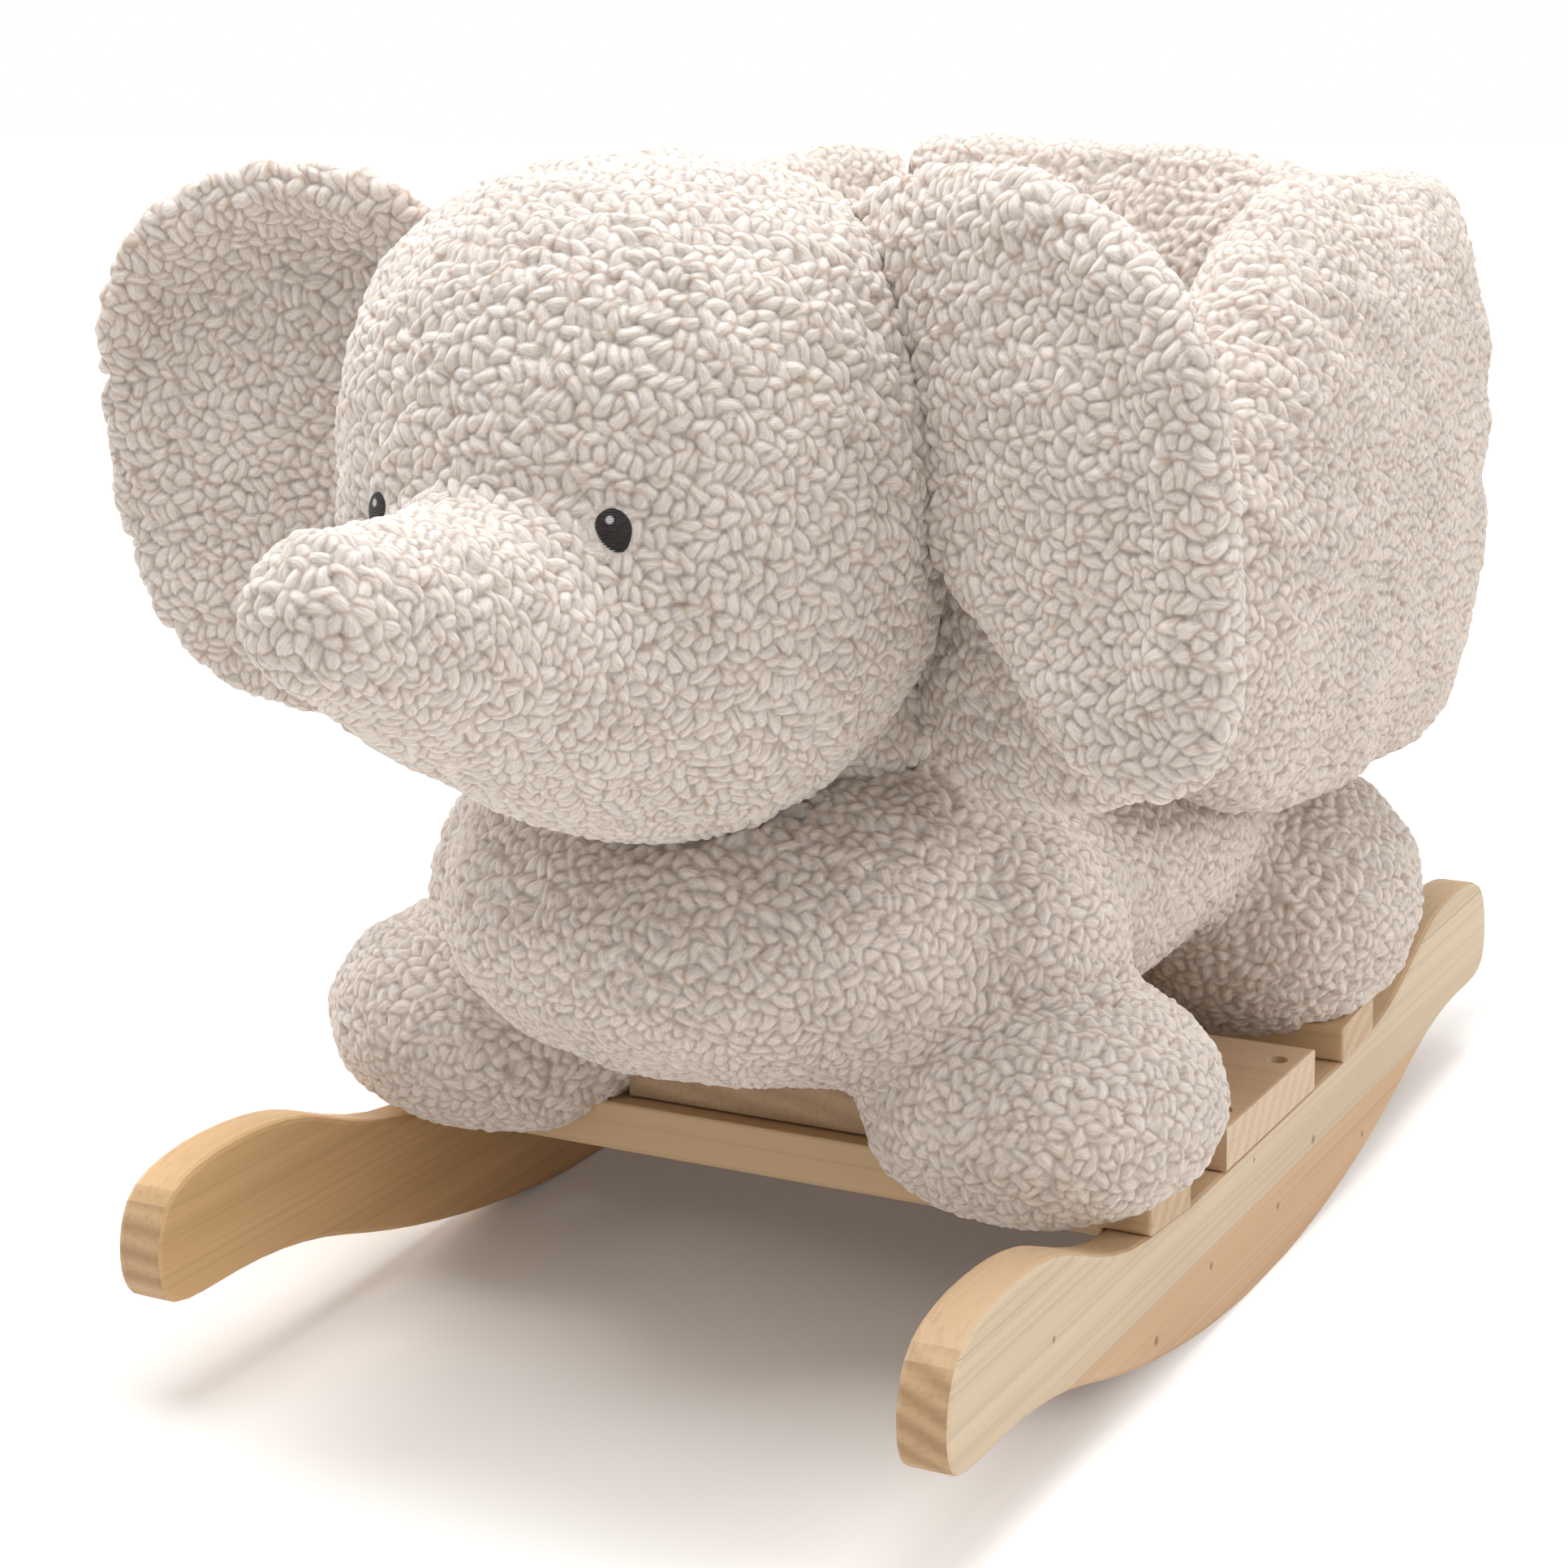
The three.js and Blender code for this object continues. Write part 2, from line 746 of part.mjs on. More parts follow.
// A stuffed tube along a curve in the middle plane, its radius given at each share of its length
function stuffedTube(curve, radiusAt, sides, steps) {
  const rings = [];
  for (let i = 0; i <= steps; i++) {
    const share = (1 - Math.cos((Math.PI * i) / steps)) / 2;
    const middle = curve.getPointAt(share);
    const ahead = curve.getTangentAt(share);
    const across = new THREE.Vector3(1, 0, 0);
    const up = new THREE.Vector3().crossVectors(ahead, across).normalize();
    const radius = radiusAt(share);
    const ring = [];
    for (let s = 0; s < sides; s++) {
      const angle = (2 * Math.PI * s) / sides;
      const point = middle.clone().addScaledVector(across, radius * Math.cos(angle));
      ring.push(point.addScaledVector(up, radius * Math.sin(angle)));
    }
    rings.push(ring);
  }
  return loft(rings);
}

function trunkForm() {
  const root = new THREE.Vector3(0, -trunkRootForward, trunkRootHeight);
  const tip = new THREE.Vector3(0, -trunkReach, trunkTipHeight);
  const middle = root.clone().lerp(tip, 0.5);
  middle.z -= trunkSagDepth;
  const curve = new THREE.QuadraticBezierCurve3(root, middle, tip);
  const length = curve.getLength();
  const endShare = trunkTipRadius / length;
  const radiusAt = (share) => {
    const along = Math.min(1, share / (1 - endShare));
    const taper = THREE.MathUtils.lerp(trunkRootRadius, trunkTipRadius, along);
    const toTip = Math.max(0, share - (1 - endShare)) / endShare;
    const rounding = Math.max(0, 1 - toTip ** 2.3) ** 0.5;
    return Math.max(taper * rounding, trunkTipRadius * 0.06);
  };
  return stuffedTube(curve, radiusAt, ...trunkFacets);
}

// Matrix from an ear's own frame, outwards, forwards and up, to its place on the head
function earPlace(side) {
  const out = new THREE.Vector3(side * Math.cos(earFlare), -Math.sin(earFlare), 0);
  const front = new THREE.Vector3(-side * Math.sin(earFlare), -Math.cos(earFlare), 0);
  const up = new THREE.Vector3(0, 0, 1);
  const place = new THREE.Matrix4().makeBasis(out, front, up);
  return place.setPosition(side * earRootHalfWidth, -earRootForward, earHeight);
}

// A round pad: rings of a full ellipse from its middle to its rim and back on the other face
function padRings(sides, steps, pointAt) {
  const rings = [];
  for (let face = 1; face >= -1; face -= 2) {
    for (let i = 1; i <= steps; i++) {
      if (face < 0 && i === 1) continue;
      const turn = ((face > 0 ? i : i - 1) / steps) * (Math.PI / 2);
      const share = face > 0 ? Math.sin(turn) : Math.cos(turn);
      const ring = [];
      for (let s = 0; s < sides; s++) ring.push(pointAt(share, (2 * Math.PI * s) / sides, face));
      rings.push(ring);
    }
  }
  return rings;
}

function earForm(side) {
  const halfWidth = earWidth / 2;
  const place = earPlace(side);
  const rings = padRings(...earFacets, (share, angle, face) => {
    const [across, up] = fullEllipse(angle, earFullness);
    const swell = (earThickness / 2) * Math.max(0, 1 - share ** 3.2) ** 0.55;
    const out = halfWidth - earInset + across * halfWidth * share;
    const cup = earCup * (share * up) ** 2 + earCup * Math.max(0, across * share) ** 2;
    return new THREE.Vector3(out, face * swell + cup, up * earHalfHeight * share).applyMatrix4(place);
  });
  return loft(rings);
}

// The head as the ear meets it at each step of its swing
function headInSwing(side) {
  const head = headForm(earGap);
  const hinge = [side * earRootHalfWidth, -earRootForward, 0];
  const turned = [];
  for (let i = 0; i <= earSwingCount; i++) {
    const swing = THREE.MathUtils.lerp(-earSwingBack, earSwingFront, i / earSwingCount);
    const degrees = THREE.MathUtils.radToDeg(side * swing);
    turned.push(
      head
        .translate([-hinge[0], -hinge[1], 0])
        .rotate([0, 0, degrees])
        .translate(hinge),
    );
  }
  return turned;
}

// A leg is a shoulder that runs down into a round foot
function legForm(side, end) {
  const rise = end > 0 ? thighRiseHeight : 0;
  const foot = stuffedBall(
    [footHalfWidth, footHalfLength, footHalfHeight + rise],
    legFullness,
    ...footFacets,
  ).translate([side * footOffset, end * footReach, footHeight + rise]);
  const shoulder = stuffedBall(
    [shoulderRadius, shoulderRadius, shoulderRadius + rise],
    legFullness,
    ...shoulderFacets,
  ).translate([side * shoulderOffset, end * shoulderReach, seatUnder - shoulderDrop]);
  return cut(foot.add(shoulder), seatRoof(-footReach - footHalfLength, plushGap));
}

// Middle line of the tub seat in plan, from the nose of the left wing to the middle of the back
function tubLine() {
  const points = [];
  const straightCount = 6;
  for (let i = 0; i <= straightCount; i++) {
    const y = THREE.MathUtils.lerp(-tubNose, tubStraight, i / straightCount);
    points.push(new THREE.Vector3(tubHalfWidth, y, 0));
  }
  const cornerCount = 10;
  for (let i = 1; i <= cornerCount; i++) {
    const [across, along] = fullEllipse(((i / cornerCount) * Math.PI) / 2, tubCornerFullness);
    points.push(new THREE.Vector3(across * tubHalfWidth, tubStraight + along * (tubBack - tubStraight), 0));
  }
  return new THREE.CatmullRomCurve3(points, false, "centripetal");
}

// One section of the tub's wall, square to its line
function tubRing(curve, share, top, bottom, thick, grow) {
  const middle = curve.getPointAt(share);
  const ahead = curve.getTangentAt(share);
  const outwards = new THREE.Vector3(ahead.y, -ahead.x, 0);
  const ring = [];
  for (let s = 0; s < tubFacetCount; s++) {
    const [across, up] = fullEllipse((2 * Math.PI * s) / tubFacetCount, tubFullness);
    const half = (across > 0 ? tubOuter : tubInner) * thick + grow;
    const height = THREE.MathUtils.lerp(bottom - grow, top + grow, (up + 1) / 2);
    const point = middle.clone().addScaledVector(outwards, across * half);
    ring.push(point.setZ(height));
  }
  return ring;
}

const cornerShare = 0.76; // where a wing meets the backrest along the tub's line

function tubLevel(share) {
  return THREE.MathUtils.lerp(tubBottom, tubTop, share);
}

function wingForm(side, grow) {
  const curve = tubLine();
  const end = cornerShare - seatGap / curve.getLength();
  const rings = wingShares.map(([along, top, bottom, thick]) =>
    tubRing(curve, along * end, tubLevel(top), tubLevel(bottom), thick, grow),
  );
  const wing = loft(rings);
  return side > 0 ? wing : wing.mirror([1, 0, 0]);
}

function backrestForm(grow) {
  const curve = tubLine();
  const half = [];
  const start = cornerShare + seatGap / curve.getLength();
  for (const [along, top, bottom, thick] of backShares) {
    const share = THREE.MathUtils.lerp(start, 1, along);
    half.push(tubRing(curve, share, tubLevel(top), tubLevel(bottom), thick, grow));
  }
  const other = half
    .slice(0, -1)
    .map((ring) => ring.map((point) => new THREE.Vector3(-point.x, point.y, point.z)))
    .reverse();
  return loft([...half, ...other]);
}

// Places along the cushion where its sections lie: close together at its ends and at each channel
function cushionStations(halfLength) {
  const channels = Math.floor((halfLength - channelWidth) / channelSpacing);
  const stations = [];
  for (let i = -channels; i <= channels; i++) {
    for (const share of stationShares) stations.push(i * channelSpacing + share * channelWidth);
  }
  for (const share of endShares) stations.push(-share * halfLength, share * halfLength);
  return stations.sort((one, other) => one - other);
}

// Seat cushion: crowned, drawn in between its corners, with sewn channels across
function cushionForm() {
  const middle = (cushionRear - cushionFront) / 2;
  const halfLength = (cushionRear + cushionFront) / 2;
  const base = seatHeight + plushGap + cushionThickness / 2;
  const rings = cushionStations(halfLength).map((station) => {
    const ring = [];
    const end = Math.abs(station / halfLength);
    const full = (1 - end ** cushionPlanFullness) ** (1 / cushionPlanFullness);
    const halfWidth = cushionHalfWidth * full - cushionPull * (1 - end ** 2);
    const offChannel = station - Math.round(station / channelSpacing) * channelSpacing;
    const dip = channelDepth * Math.exp(-((offChannel / channelWidth) ** 2) / channelSpreadShare);
    for (let s = 0; s < cushionFacetCount; s++) {
      const [across, up] = fullEllipse((2 * Math.PI * s) / cushionFacetCount, cushionEdgeFullness);
      const inner = 1 - across ** 2;
      const drawn = station * (1 - (cushionPull / halfLength) * inner * end ** 2);
      const top = up > 0 ? (cushionCrown * (1 - end ** 2) * inner - dip) * up : 0;
      const height = base + (up * full * cushionThickness) / 2 + top;
      ring.push(new THREE.Vector3(across * halfWidth, middle + drawn, height));
    }
    return ring;
  });
  return loft(rings);
}

function eyeForm(side) {
  const across = (side * eyeOffset) / headHalfWidth;
  const along = -((1 - across ** 2) ** 0.5);
  const way = new THREE.Vector3(side * eyeOffset, along * headHalfDepth, eyeHeight - headHeight);
  const normal = new THREE.Vector3(across / headHalfWidth, along / headHalfDepth, 0).normalize();
  const disc = stuffedBall([eyeHalfWidth, eyeHalfHeight, eyeThickness], eyeFullness, ...eyeFacets);
  const level = new THREE.Vector3(0, 0, 1).cross(normal).normalize();
  const up = new THREE.Vector3().crossVectors(normal, level);
  const place = new THREE.Matrix4().makeBasis(level, up, normal);
  const centre = way.add(new THREE.Vector3(0, -headForward, headHeight));
  place.setPosition(centre.addScaledVector(normal, eyeThickness / 2));
  return disc.transform(place.elements);
}

function tailForm() {
  const rootY = torsoShift + torsoHalfLength - 3 * tailRadius;
  const curve = new THREE.CatmullRomCurve3([
    new THREE.Vector3(0, rootY, tailRootHeight),
    new THREE.Vector3(0, THREE.MathUtils.lerp(rootY, tailReach, 0.72), tailRootHeight - tailDrop * 0.16),
    new THREE.Vector3(0, tailReach - tailTuftRadius, tailRootHeight - tailDrop * 0.55),
    new THREE.Vector3(0, tailReach - tailTuftRadius, tailRootHeight - tailDrop),
  ]);
  const radiusAt = (share) => {
    const tuft = Math.exp(-(((share - 0.82) / 0.16) ** 2));
    const rounding = Math.max(0, 1 - share ** 12) ** 0.5;
    const plain = THREE.MathUtils.lerp(tailRadius, tailTuftRadius, tuft);
    return Math.max(plain * rounding, tailRadius * 0.1);
  };
  return stuffedTube(curve, radiusAt, ...tailFacets);
}

function addPlush() {
  const wood = woodRoom();
  const frame = frameRoom();
  const torsoRoom = torsoForm(plushGap);
  const headRoom = headForm(plushGap);
  addPiece("torso", cut(torsoForm(0), ...wood, ...frame), sherpa);
  addPiece("head", cut(headForm(0), torsoRoom, ...wood), sherpa);
  addPiece("trunk", cut(trunkForm(), headRoom, torsoRoom), sherpa);
  for (const side of [-1, 1]) {
    const hand = side > 0 ? "left" : "right";
    const wing = cut(wingForm(side, 0), torsoRoom, ...wood);
    addPiece(`wing_${hand}`, wing, sherpa);
    const wingRoom = wingForm(side, plushGap);
    for (const end of [-1, 1]) {
      const leg = cut(legForm(side, end), torsoRoom, wingRoom, ...wood, ...frame);
      addPiece(`leg_${end < 0 ? "front" : "rear"}_${hand}`, leg, sherpa);
    }
    const ear = cut(earForm(side), ...headInSwing(side));
    addPiece(`ear_${hand}`, ear, sherpa);
    addPiece(`eye_${hand}`, cut(eyeForm(side), headForm(seatGap)), stitching);
  }
  addPiece("backrest", cut(backrestForm(0), torsoRoom, ...wood), sherpa);
  const seatRoom = [wingForm(-1, plushGap), wingForm(1, plushGap), backrestForm(plushGap)];
  addPiece("seat_cushion", cut(cushionForm(), ...seatRoom), sherpa);
  addPiece("tail", cut(tailForm(), torsoRoom), sherpa);
}

placeFrameScrews();
addFrame();
addWoodwork();
addPlush();
// The part's origin lies on the floor, below the middle of its box
const box = new THREE.Box3().setFromObject(part);
part.position.y = -(box.min.y + box.max.y) / 2;

export default part;
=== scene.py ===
import math
import bpy
import numpy as np
from mathutils import Matrix, Vector
from mathutils.kdtree import KDTree


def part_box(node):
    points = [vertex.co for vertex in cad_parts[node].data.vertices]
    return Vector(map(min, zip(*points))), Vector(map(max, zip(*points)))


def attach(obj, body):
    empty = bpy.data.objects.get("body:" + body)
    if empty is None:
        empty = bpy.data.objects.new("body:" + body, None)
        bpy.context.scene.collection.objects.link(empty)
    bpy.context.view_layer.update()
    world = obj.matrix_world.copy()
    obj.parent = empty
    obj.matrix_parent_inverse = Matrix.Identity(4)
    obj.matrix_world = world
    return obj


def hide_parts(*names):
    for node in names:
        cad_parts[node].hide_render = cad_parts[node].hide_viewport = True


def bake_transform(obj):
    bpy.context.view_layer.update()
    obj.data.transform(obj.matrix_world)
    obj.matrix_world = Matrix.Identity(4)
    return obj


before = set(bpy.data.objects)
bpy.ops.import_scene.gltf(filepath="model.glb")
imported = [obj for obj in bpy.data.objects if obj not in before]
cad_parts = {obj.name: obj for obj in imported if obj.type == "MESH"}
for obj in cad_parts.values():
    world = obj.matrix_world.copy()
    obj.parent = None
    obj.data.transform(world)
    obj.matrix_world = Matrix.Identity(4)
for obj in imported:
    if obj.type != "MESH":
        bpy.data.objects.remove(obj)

print("frame loaded")
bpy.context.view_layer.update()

# Places below are in millimetres from the middle of the rockers, on the floor.
# X points to the elephant's left, Y to its tail and Z up.
rockerLow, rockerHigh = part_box("rocker_left")
middleY = (rockerLow.y + rockerHigh.y) / 2


def deselectAll():
    bpy.ops.object.select_all(action="DESELECT")


def namePiece(piece, name):
    piece.name = name
    piece.data.name = name


def readArray(source, field, width=1, kind=float):
    values = np.empty(len(source) * width, dtype=kind)
    source.foreach_get(field, values)
    return values.reshape(-1, width) if width > 1 else values


# Points given in metres, as millimetres from the middle of the rockers
def toPlaces(points):
    places = points * 1000
    places[:, 1] -= middleY * 1000
    return places


def readPlaces(piece):
    return toPlaces(readArray(piece.data.vertices, "co", 3))


def readNormals(piece):
    return readArray(piece.data.vertex_normals, "vector", 3)


def writePlaces(piece, places):
    moved = places / 1000
    moved[:, 1] += middleY
    piece.data.vertices.foreach_set("co", moved.ravel())
    piece.data.update()


# Keeps a number or a vector for each point, which the finishes read by its name
def writeValues(piece, name, values):
    kind, field = ("FLOAT_VECTOR", "vector") if values.ndim == 2 else ("FLOAT", "value")
    attribute = piece.data.attributes.new(name, kind, "POINT")
    attribute.data.foreach_set(field, values.astype(np.float32).ravel())


def smoothFaces(piece):
    piece.data.polygons.foreach_set("use_smooth", [True] * len(piece.data.polygons))


def smoothStep(value, low, high):
    share = np.clip((value - low) / (high - low), 0, 1)
    return share * share * (3 - 2 * share)


def signedPower(value, power):
    return np.sign(value) * np.abs(value) ** power


def unitRows(rows):
    return rows / np.maximum(np.linalg.norm(rows, axis=1), 1e-6)[:, None]


def useModifier(piece, kind, **settings):
    deselectAll()
    bpy.context.view_layer.objects.active = piece
    piece.select_set(True)
    modifier = piece.modifiers.new(kind.lower(), kind)
    for key, value in settings.items():
        setattr(modifier, key, value)
    bpy.ops.object.modifier_apply(modifier=modifier.name)


# A ball of small facets, to be pulled into a stuffed form; gives the direction of each point
def startBall(name, around=48, down=32):
    deselectAll()
    bpy.ops.mesh.primitive_uv_sphere_add(segments=around, ring_count=down, radius=1)
    piece = bpy.context.object
    namePiece(piece, name)
    return piece, readArray(piece.data.vertices, "co", 3)


# How far a stuffed ball reaches along each direction
def ballReach(ways, ball):
    radii, plan = ball["radii"], ball["plan"]
    upright = ball["below"] + (ball["above"] - ball["below"]) * smoothStep(ways[:, 2], -1, 1)
    level = np.abs(ways[:, 0] / radii[0]) ** plan + np.abs(ways[:, 1] / radii[1]) ** plan
    rise = np.abs(ways[:, 2] / radii[2]) ** upright
    return (level ** (upright / plan) + rise) ** (-1 / upright)


def addBall(name, ball):
    piece, ways = startBall(name)
    writePlaces(piece, ways * ballReach(ways, ball)[:, None] + np.array(ball["place"]))
    return piece


# Moves the points that lie inside a ball, or within a gap of it, out to its surface
def pressOff(places, ball, gap):
    away = places - np.array(ball["place"])
    ways = unitRows(away)
    reach = ballReach(ways, ball) + gap
    inside = np.linalg.norm(away, axis=1) < reach
    places[inside] = np.array(ball["place"]) + ways[inside] * reach[inside, None]
    return places


# A flat pad whose rim follows an outline, given in its own plane as outwards and up
def addPad(name, pad, toPlace):
    piece, ways = startBall(name, 64, 24)
    centre = np.array(pad["centre"], float)
    around = np.array(pad["outline"], float) - centre
    turn = np.arctan2(around[:, 1], around[:, 0])
    order = np.argsort(turn)
    turn = turn[order]
    radius = np.hypot(around[:, 0], around[:, 1])[order]
    turn = np.concatenate([turn - 2 * math.pi, turn, turn + 2 * math.pi])
    angle = np.arctan2(ways[:, 1], ways[:, 0])
    share = np.hypot(ways[:, 0], ways[:, 1])
    rim = np.interp(angle, turn, np.tile(radius, 3))
    out = centre[0] + np.cos(angle) * rim * share
    up = centre[1] + np.sin(angle) * rim * share
    swell = signedPower(ways[:, 2], 0.8) * pad["thickness"] / 2
    writePlaces(piece, toPlace(out, up, swell))
    return piece


# A closed sleeve: its rings run along a path and each has its own section
def addSleeve(name, ringAt, around=40, down=48):
    piece, ways = startBall(name, around, down)
    along = np.arccos(np.clip(ways[:, 2], -1, 1)) / math.pi
    turn = np.arctan2(ways[:, 1], ways[:, 0])
    writePlaces(piece, ringAt(along, turn))
    return piece


def joinForms(name, forms):
    deselectAll()
    for form in forms:
        form.select_set(True)
    bpy.context.view_layer.objects.active = forms[0]
    if len(forms) > 1:
        bpy.ops.object.join()
    namePiece(forms[0], name)
    return forms[0]


def soften(piece, rounds, **where):
    useModifier(piece, "SMOOTH", factor=0.5, iterations=rounds, **where)


# A cover says how its piece is made: the voxel of its skin in millimetres, rounds of softening, the
# stuffing's pressure and how far that may move a point, how full the piece is and the seed of its pile.
# The skin is one even mesh over all that was joined, and a crease is softened before the rest
def weldSkin(piece, cover):
    useModifier(piece, "REMESH", mode="VOXEL", voxel_size=cover["voxel"] / 1000, use_smooth_shade=True)
    if "crease" in cover:
        group = piece.vertex_groups.new(name="crease")
        for index, value in enumerate(cover["crease"](readPlaces(piece))):
            if value > 0.01:
                group.add([index], float(value), "REPLACE")
        soften(piece, cover["creaseRounds"], vertex_group="crease")
        piece.vertex_groups.clear()
        useModifier(piece, "REMESH", mode="VOXEL", voxel_size=cover["voxel"] / 1000, use_smooth_shade=True)
    soften(piece, cover["rounds"])


# The covers' cloth while the stuffing presses it out
stuffing = {
    "frames": 20,
    "cloth": {"quality": 4, "mass": 0.3, "use_pressure": True, "tension_stiffness": 12,
              "compression_stiffness": 12, "shear_stiffness": 6, "bending_stiffness": 0.6},
}


# Blows the cover up a little as its stuffing does; no point moves further than the cap
def stuff(piece, cover):
    scene = bpy.context.scene
    start = readPlaces(piece)
    modifier = piece.modifiers.new("cloth", "CLOTH")
    for key, value in stuffing["cloth"].items():
        setattr(modifier.settings, key, value)
    modifier.settings.uniform_pressure_force = cover["pressure"]
    modifier.settings.effector_weights.gravity = 0
    modifier.collision_settings.use_collision = False
    modifier.point_cache.frame_start = 1
    modifier.point_cache.frame_end = stuffing["frames"]
    for step in range(stuffing["frames"]):
        scene.frame_set(step + 1)
    swollen = piece.evaluated_get(bpy.context.evaluated_depsgraph_get())
    move = toPlaces(readArray(swollen.data.vertices, "co", 3)) - start
    piece.modifiers.remove(modifier)
    scene.frame_set(1)
    far = np.linalg.norm(move, axis=1)
    move *= np.minimum(1, cover["cap"] / np.maximum(far, 1e-6))[:, None]
    writePlaces(piece, start + move)
    print(piece.name, "stuffed", round(float(far.mean()), 1), round(float(far.max()), 1))


# The pile: grains of curled wool packed side by side, in millimetres
pile = {
    "apart": 3.0,  # from seed to seed across the grain
    "narrow": 0.5,  # a grain's width over its length
    "narrowSpread": 0.3,
    "offers": 5,  # places on each coarse face where a seed may fall
    "nearby": 13,  # seeds that each coarse face looks at
    "row": 5.6,
    "rowSlope": 0.6,
    "rowWave": 3,
    "waves": (23, 19, 31, 17),
    "upward": (0.0, 0.35, 1.0),
    "lean": 0.75,
    "leanWave": 0.45,
    "stray": 0.25,
    "bow": 0.05,
    "strandShift": (70, 50),
    "height": 2.4,
    "halfWidth": 2.7,
    "uneven": 0.35,
    "tilt": 0.14,
    "tiltBack": 0.3,  # share of the grains whose tips point down the row
    "merge": 1.5,  # neighbours that differ less than this in height run into each other
    # crevice: past this difference in height a grain is free of the painted crevice shade
    "crevice": 1.3,  # difference in height at which a grain shows its full colour
    "sink": 0.6,
    "stand": 2.4,
    "lump": 0.75,
    "lumpSize": 17,
    # bare skin under the eyes: share of the wool's own colour, the rest painted crevice shade
    "bareShadeMask": 0.7,
    "beyond": 99.0,  # more than any height or distance in the pile
}


# Seeds of the grains: as many points of the skin as fit with the given distance apart, which is
# larger along the grain than across it
def sowSeeds(places, normals, draw):
    apart, narrow = pile["apart"], pile["narrow"]
    keys = [tuple(cell) for cell in np.floor(places * (narrow / apart)).astype(int).tolist()]
    around = [(i, j, k) for i in (-1, 0, 1) for j in (-1, 0, 1) for k in (-1, 0, 1)]
    ways = layGrains(places, normals).tolist()
    spots = places.tolist()
    taken = {}
    chosen = []
    for index in draw.permutation(len(places)).tolist():
        i, j, k = keys[index]
        x, y, z = spots[index]
        wayX, wayY, wayZ = ways[index]
        free = True
        for di, dj, dk in around:
            for otherX, otherY, otherZ in taken.get((i + di, j + dj, k + dk), ()):
                awayX, awayY, awayZ = x - otherX, y - otherY, z - otherZ
                along = awayX * wayX + awayY * wayY + awayZ * wayZ
                away = awayX * awayX + awayY * awayY + awayZ * awayZ
                if away - (1 - narrow * narrow) * along * along < apart * apart:
                    free = False
                    break
            if not free:
                break
        if free:
            taken.setdefault((i, j, k), []).append(spots[index])
            chosen.append(index)
    return places[chosen], normals[chosen]


# The way each grain lies: rows that lean to one side and the other by turns
def layGrains(seeds, normals):
    up = np.array(pile["upward"])
    upward = unitRows(up - normals * (normals @ up)[:, None])
    level = np.cross(normals, upward)
    x, y, z = seeds.T
    waveX, waveY, waveAcross, waveZ = pile["waves"]
    wave = np.sin(x / waveX) + np.sin(y / waveY + z / waveAcross) + np.sin(z / waveZ)
    row = np.floor((z + pile["rowSlope"] * y + pile["rowWave"] * wave) / pile["row"])
    turn = np.where(row % 2 == 0, 1, -1) * pile["lean"] + pile["leanWave"] * wave
    return upward * np.cos(turn)[:, None] + level * np.sin(turn)[:, None]


# Sows the coarse skin, finds the seeds near each of its faces and notes each face's number on it
def gatherSeeds(piece, draw):
    mesh = piece.data
    places = readPlaces(piece)
    centres = toPlaces(readArray(mesh.polygons, "center", 3))
    faceNormals = readArray(mesh.polygon_normals, "vector", 3)
    starts = readArray(mesh.polygons, "loop_start", kind=np.int32)
    sizes = readArray(mesh.polygons, "loop_total", kind=np.int32)
    corners = readArray(mesh.loops, "vertex_index", kind=np.int32)
    first, second, third, fourth = (places[corners[starts + turn % sizes]] for turn in range(4))
    spots, sides = [places], [readNormals(piece)]
    for one, two in draw.random((pile["offers"], 2, len(centres), 1)):
        low = (1 - two) * first + two * fourth
        high = (1 - two) * second + two * third
        spots.append((1 - one) * low + one * high)
        sides.append(faceNormals)
    seeds, seedNormals = sowSeeds(np.concatenate(spots), np.concatenate(sides), draw)
    tree = KDTree(len(seeds))
    for index, seed in enumerate(seeds):
        tree.insert(seed, index)
    tree.balance()
    nearby = np.array([[found[1] for found in tree.find_n(centre, pile["nearby"])] for centre in centres])
    mark = mesh.attributes.new("coarseFace", "INT", "FACE")
    mark.data.foreach_set("value", np.arange(len(centres), dtype=np.int32))
    return seeds, seedNormals, nearby


# The coarse face that each point of the fine skin lies on
def findParents(piece):
    mesh = piece.data
    marks = readArray(mesh.attributes["coarseFace"].data, "value", kind=np.int32)
    sizes = readArray(mesh.polygons, "loop_total", kind=np.int32)
    corners = readArray(mesh.loops, "vertex_index", kind=np.int32)
    parents = np.zeros(len(mesh.vertices), dtype=np.int32)
    parents[corners] = np.repeat(marks, sizes)
    mesh.attributes.remove(mesh.attributes["coarseFace"])
    return parents


# Broad, shallow lumps in the pile
def lumpAt(places):
    x, y, z = (places / pile["lumpSize"]).T
    lump = np.sin(x * 2.1 + 1.3 * np.sin(y * 1.7)) + np.sin(z * 2.4 + y * 1.1)
    return pile["lump"] * lump * np.sin(y * 1.9 + z)


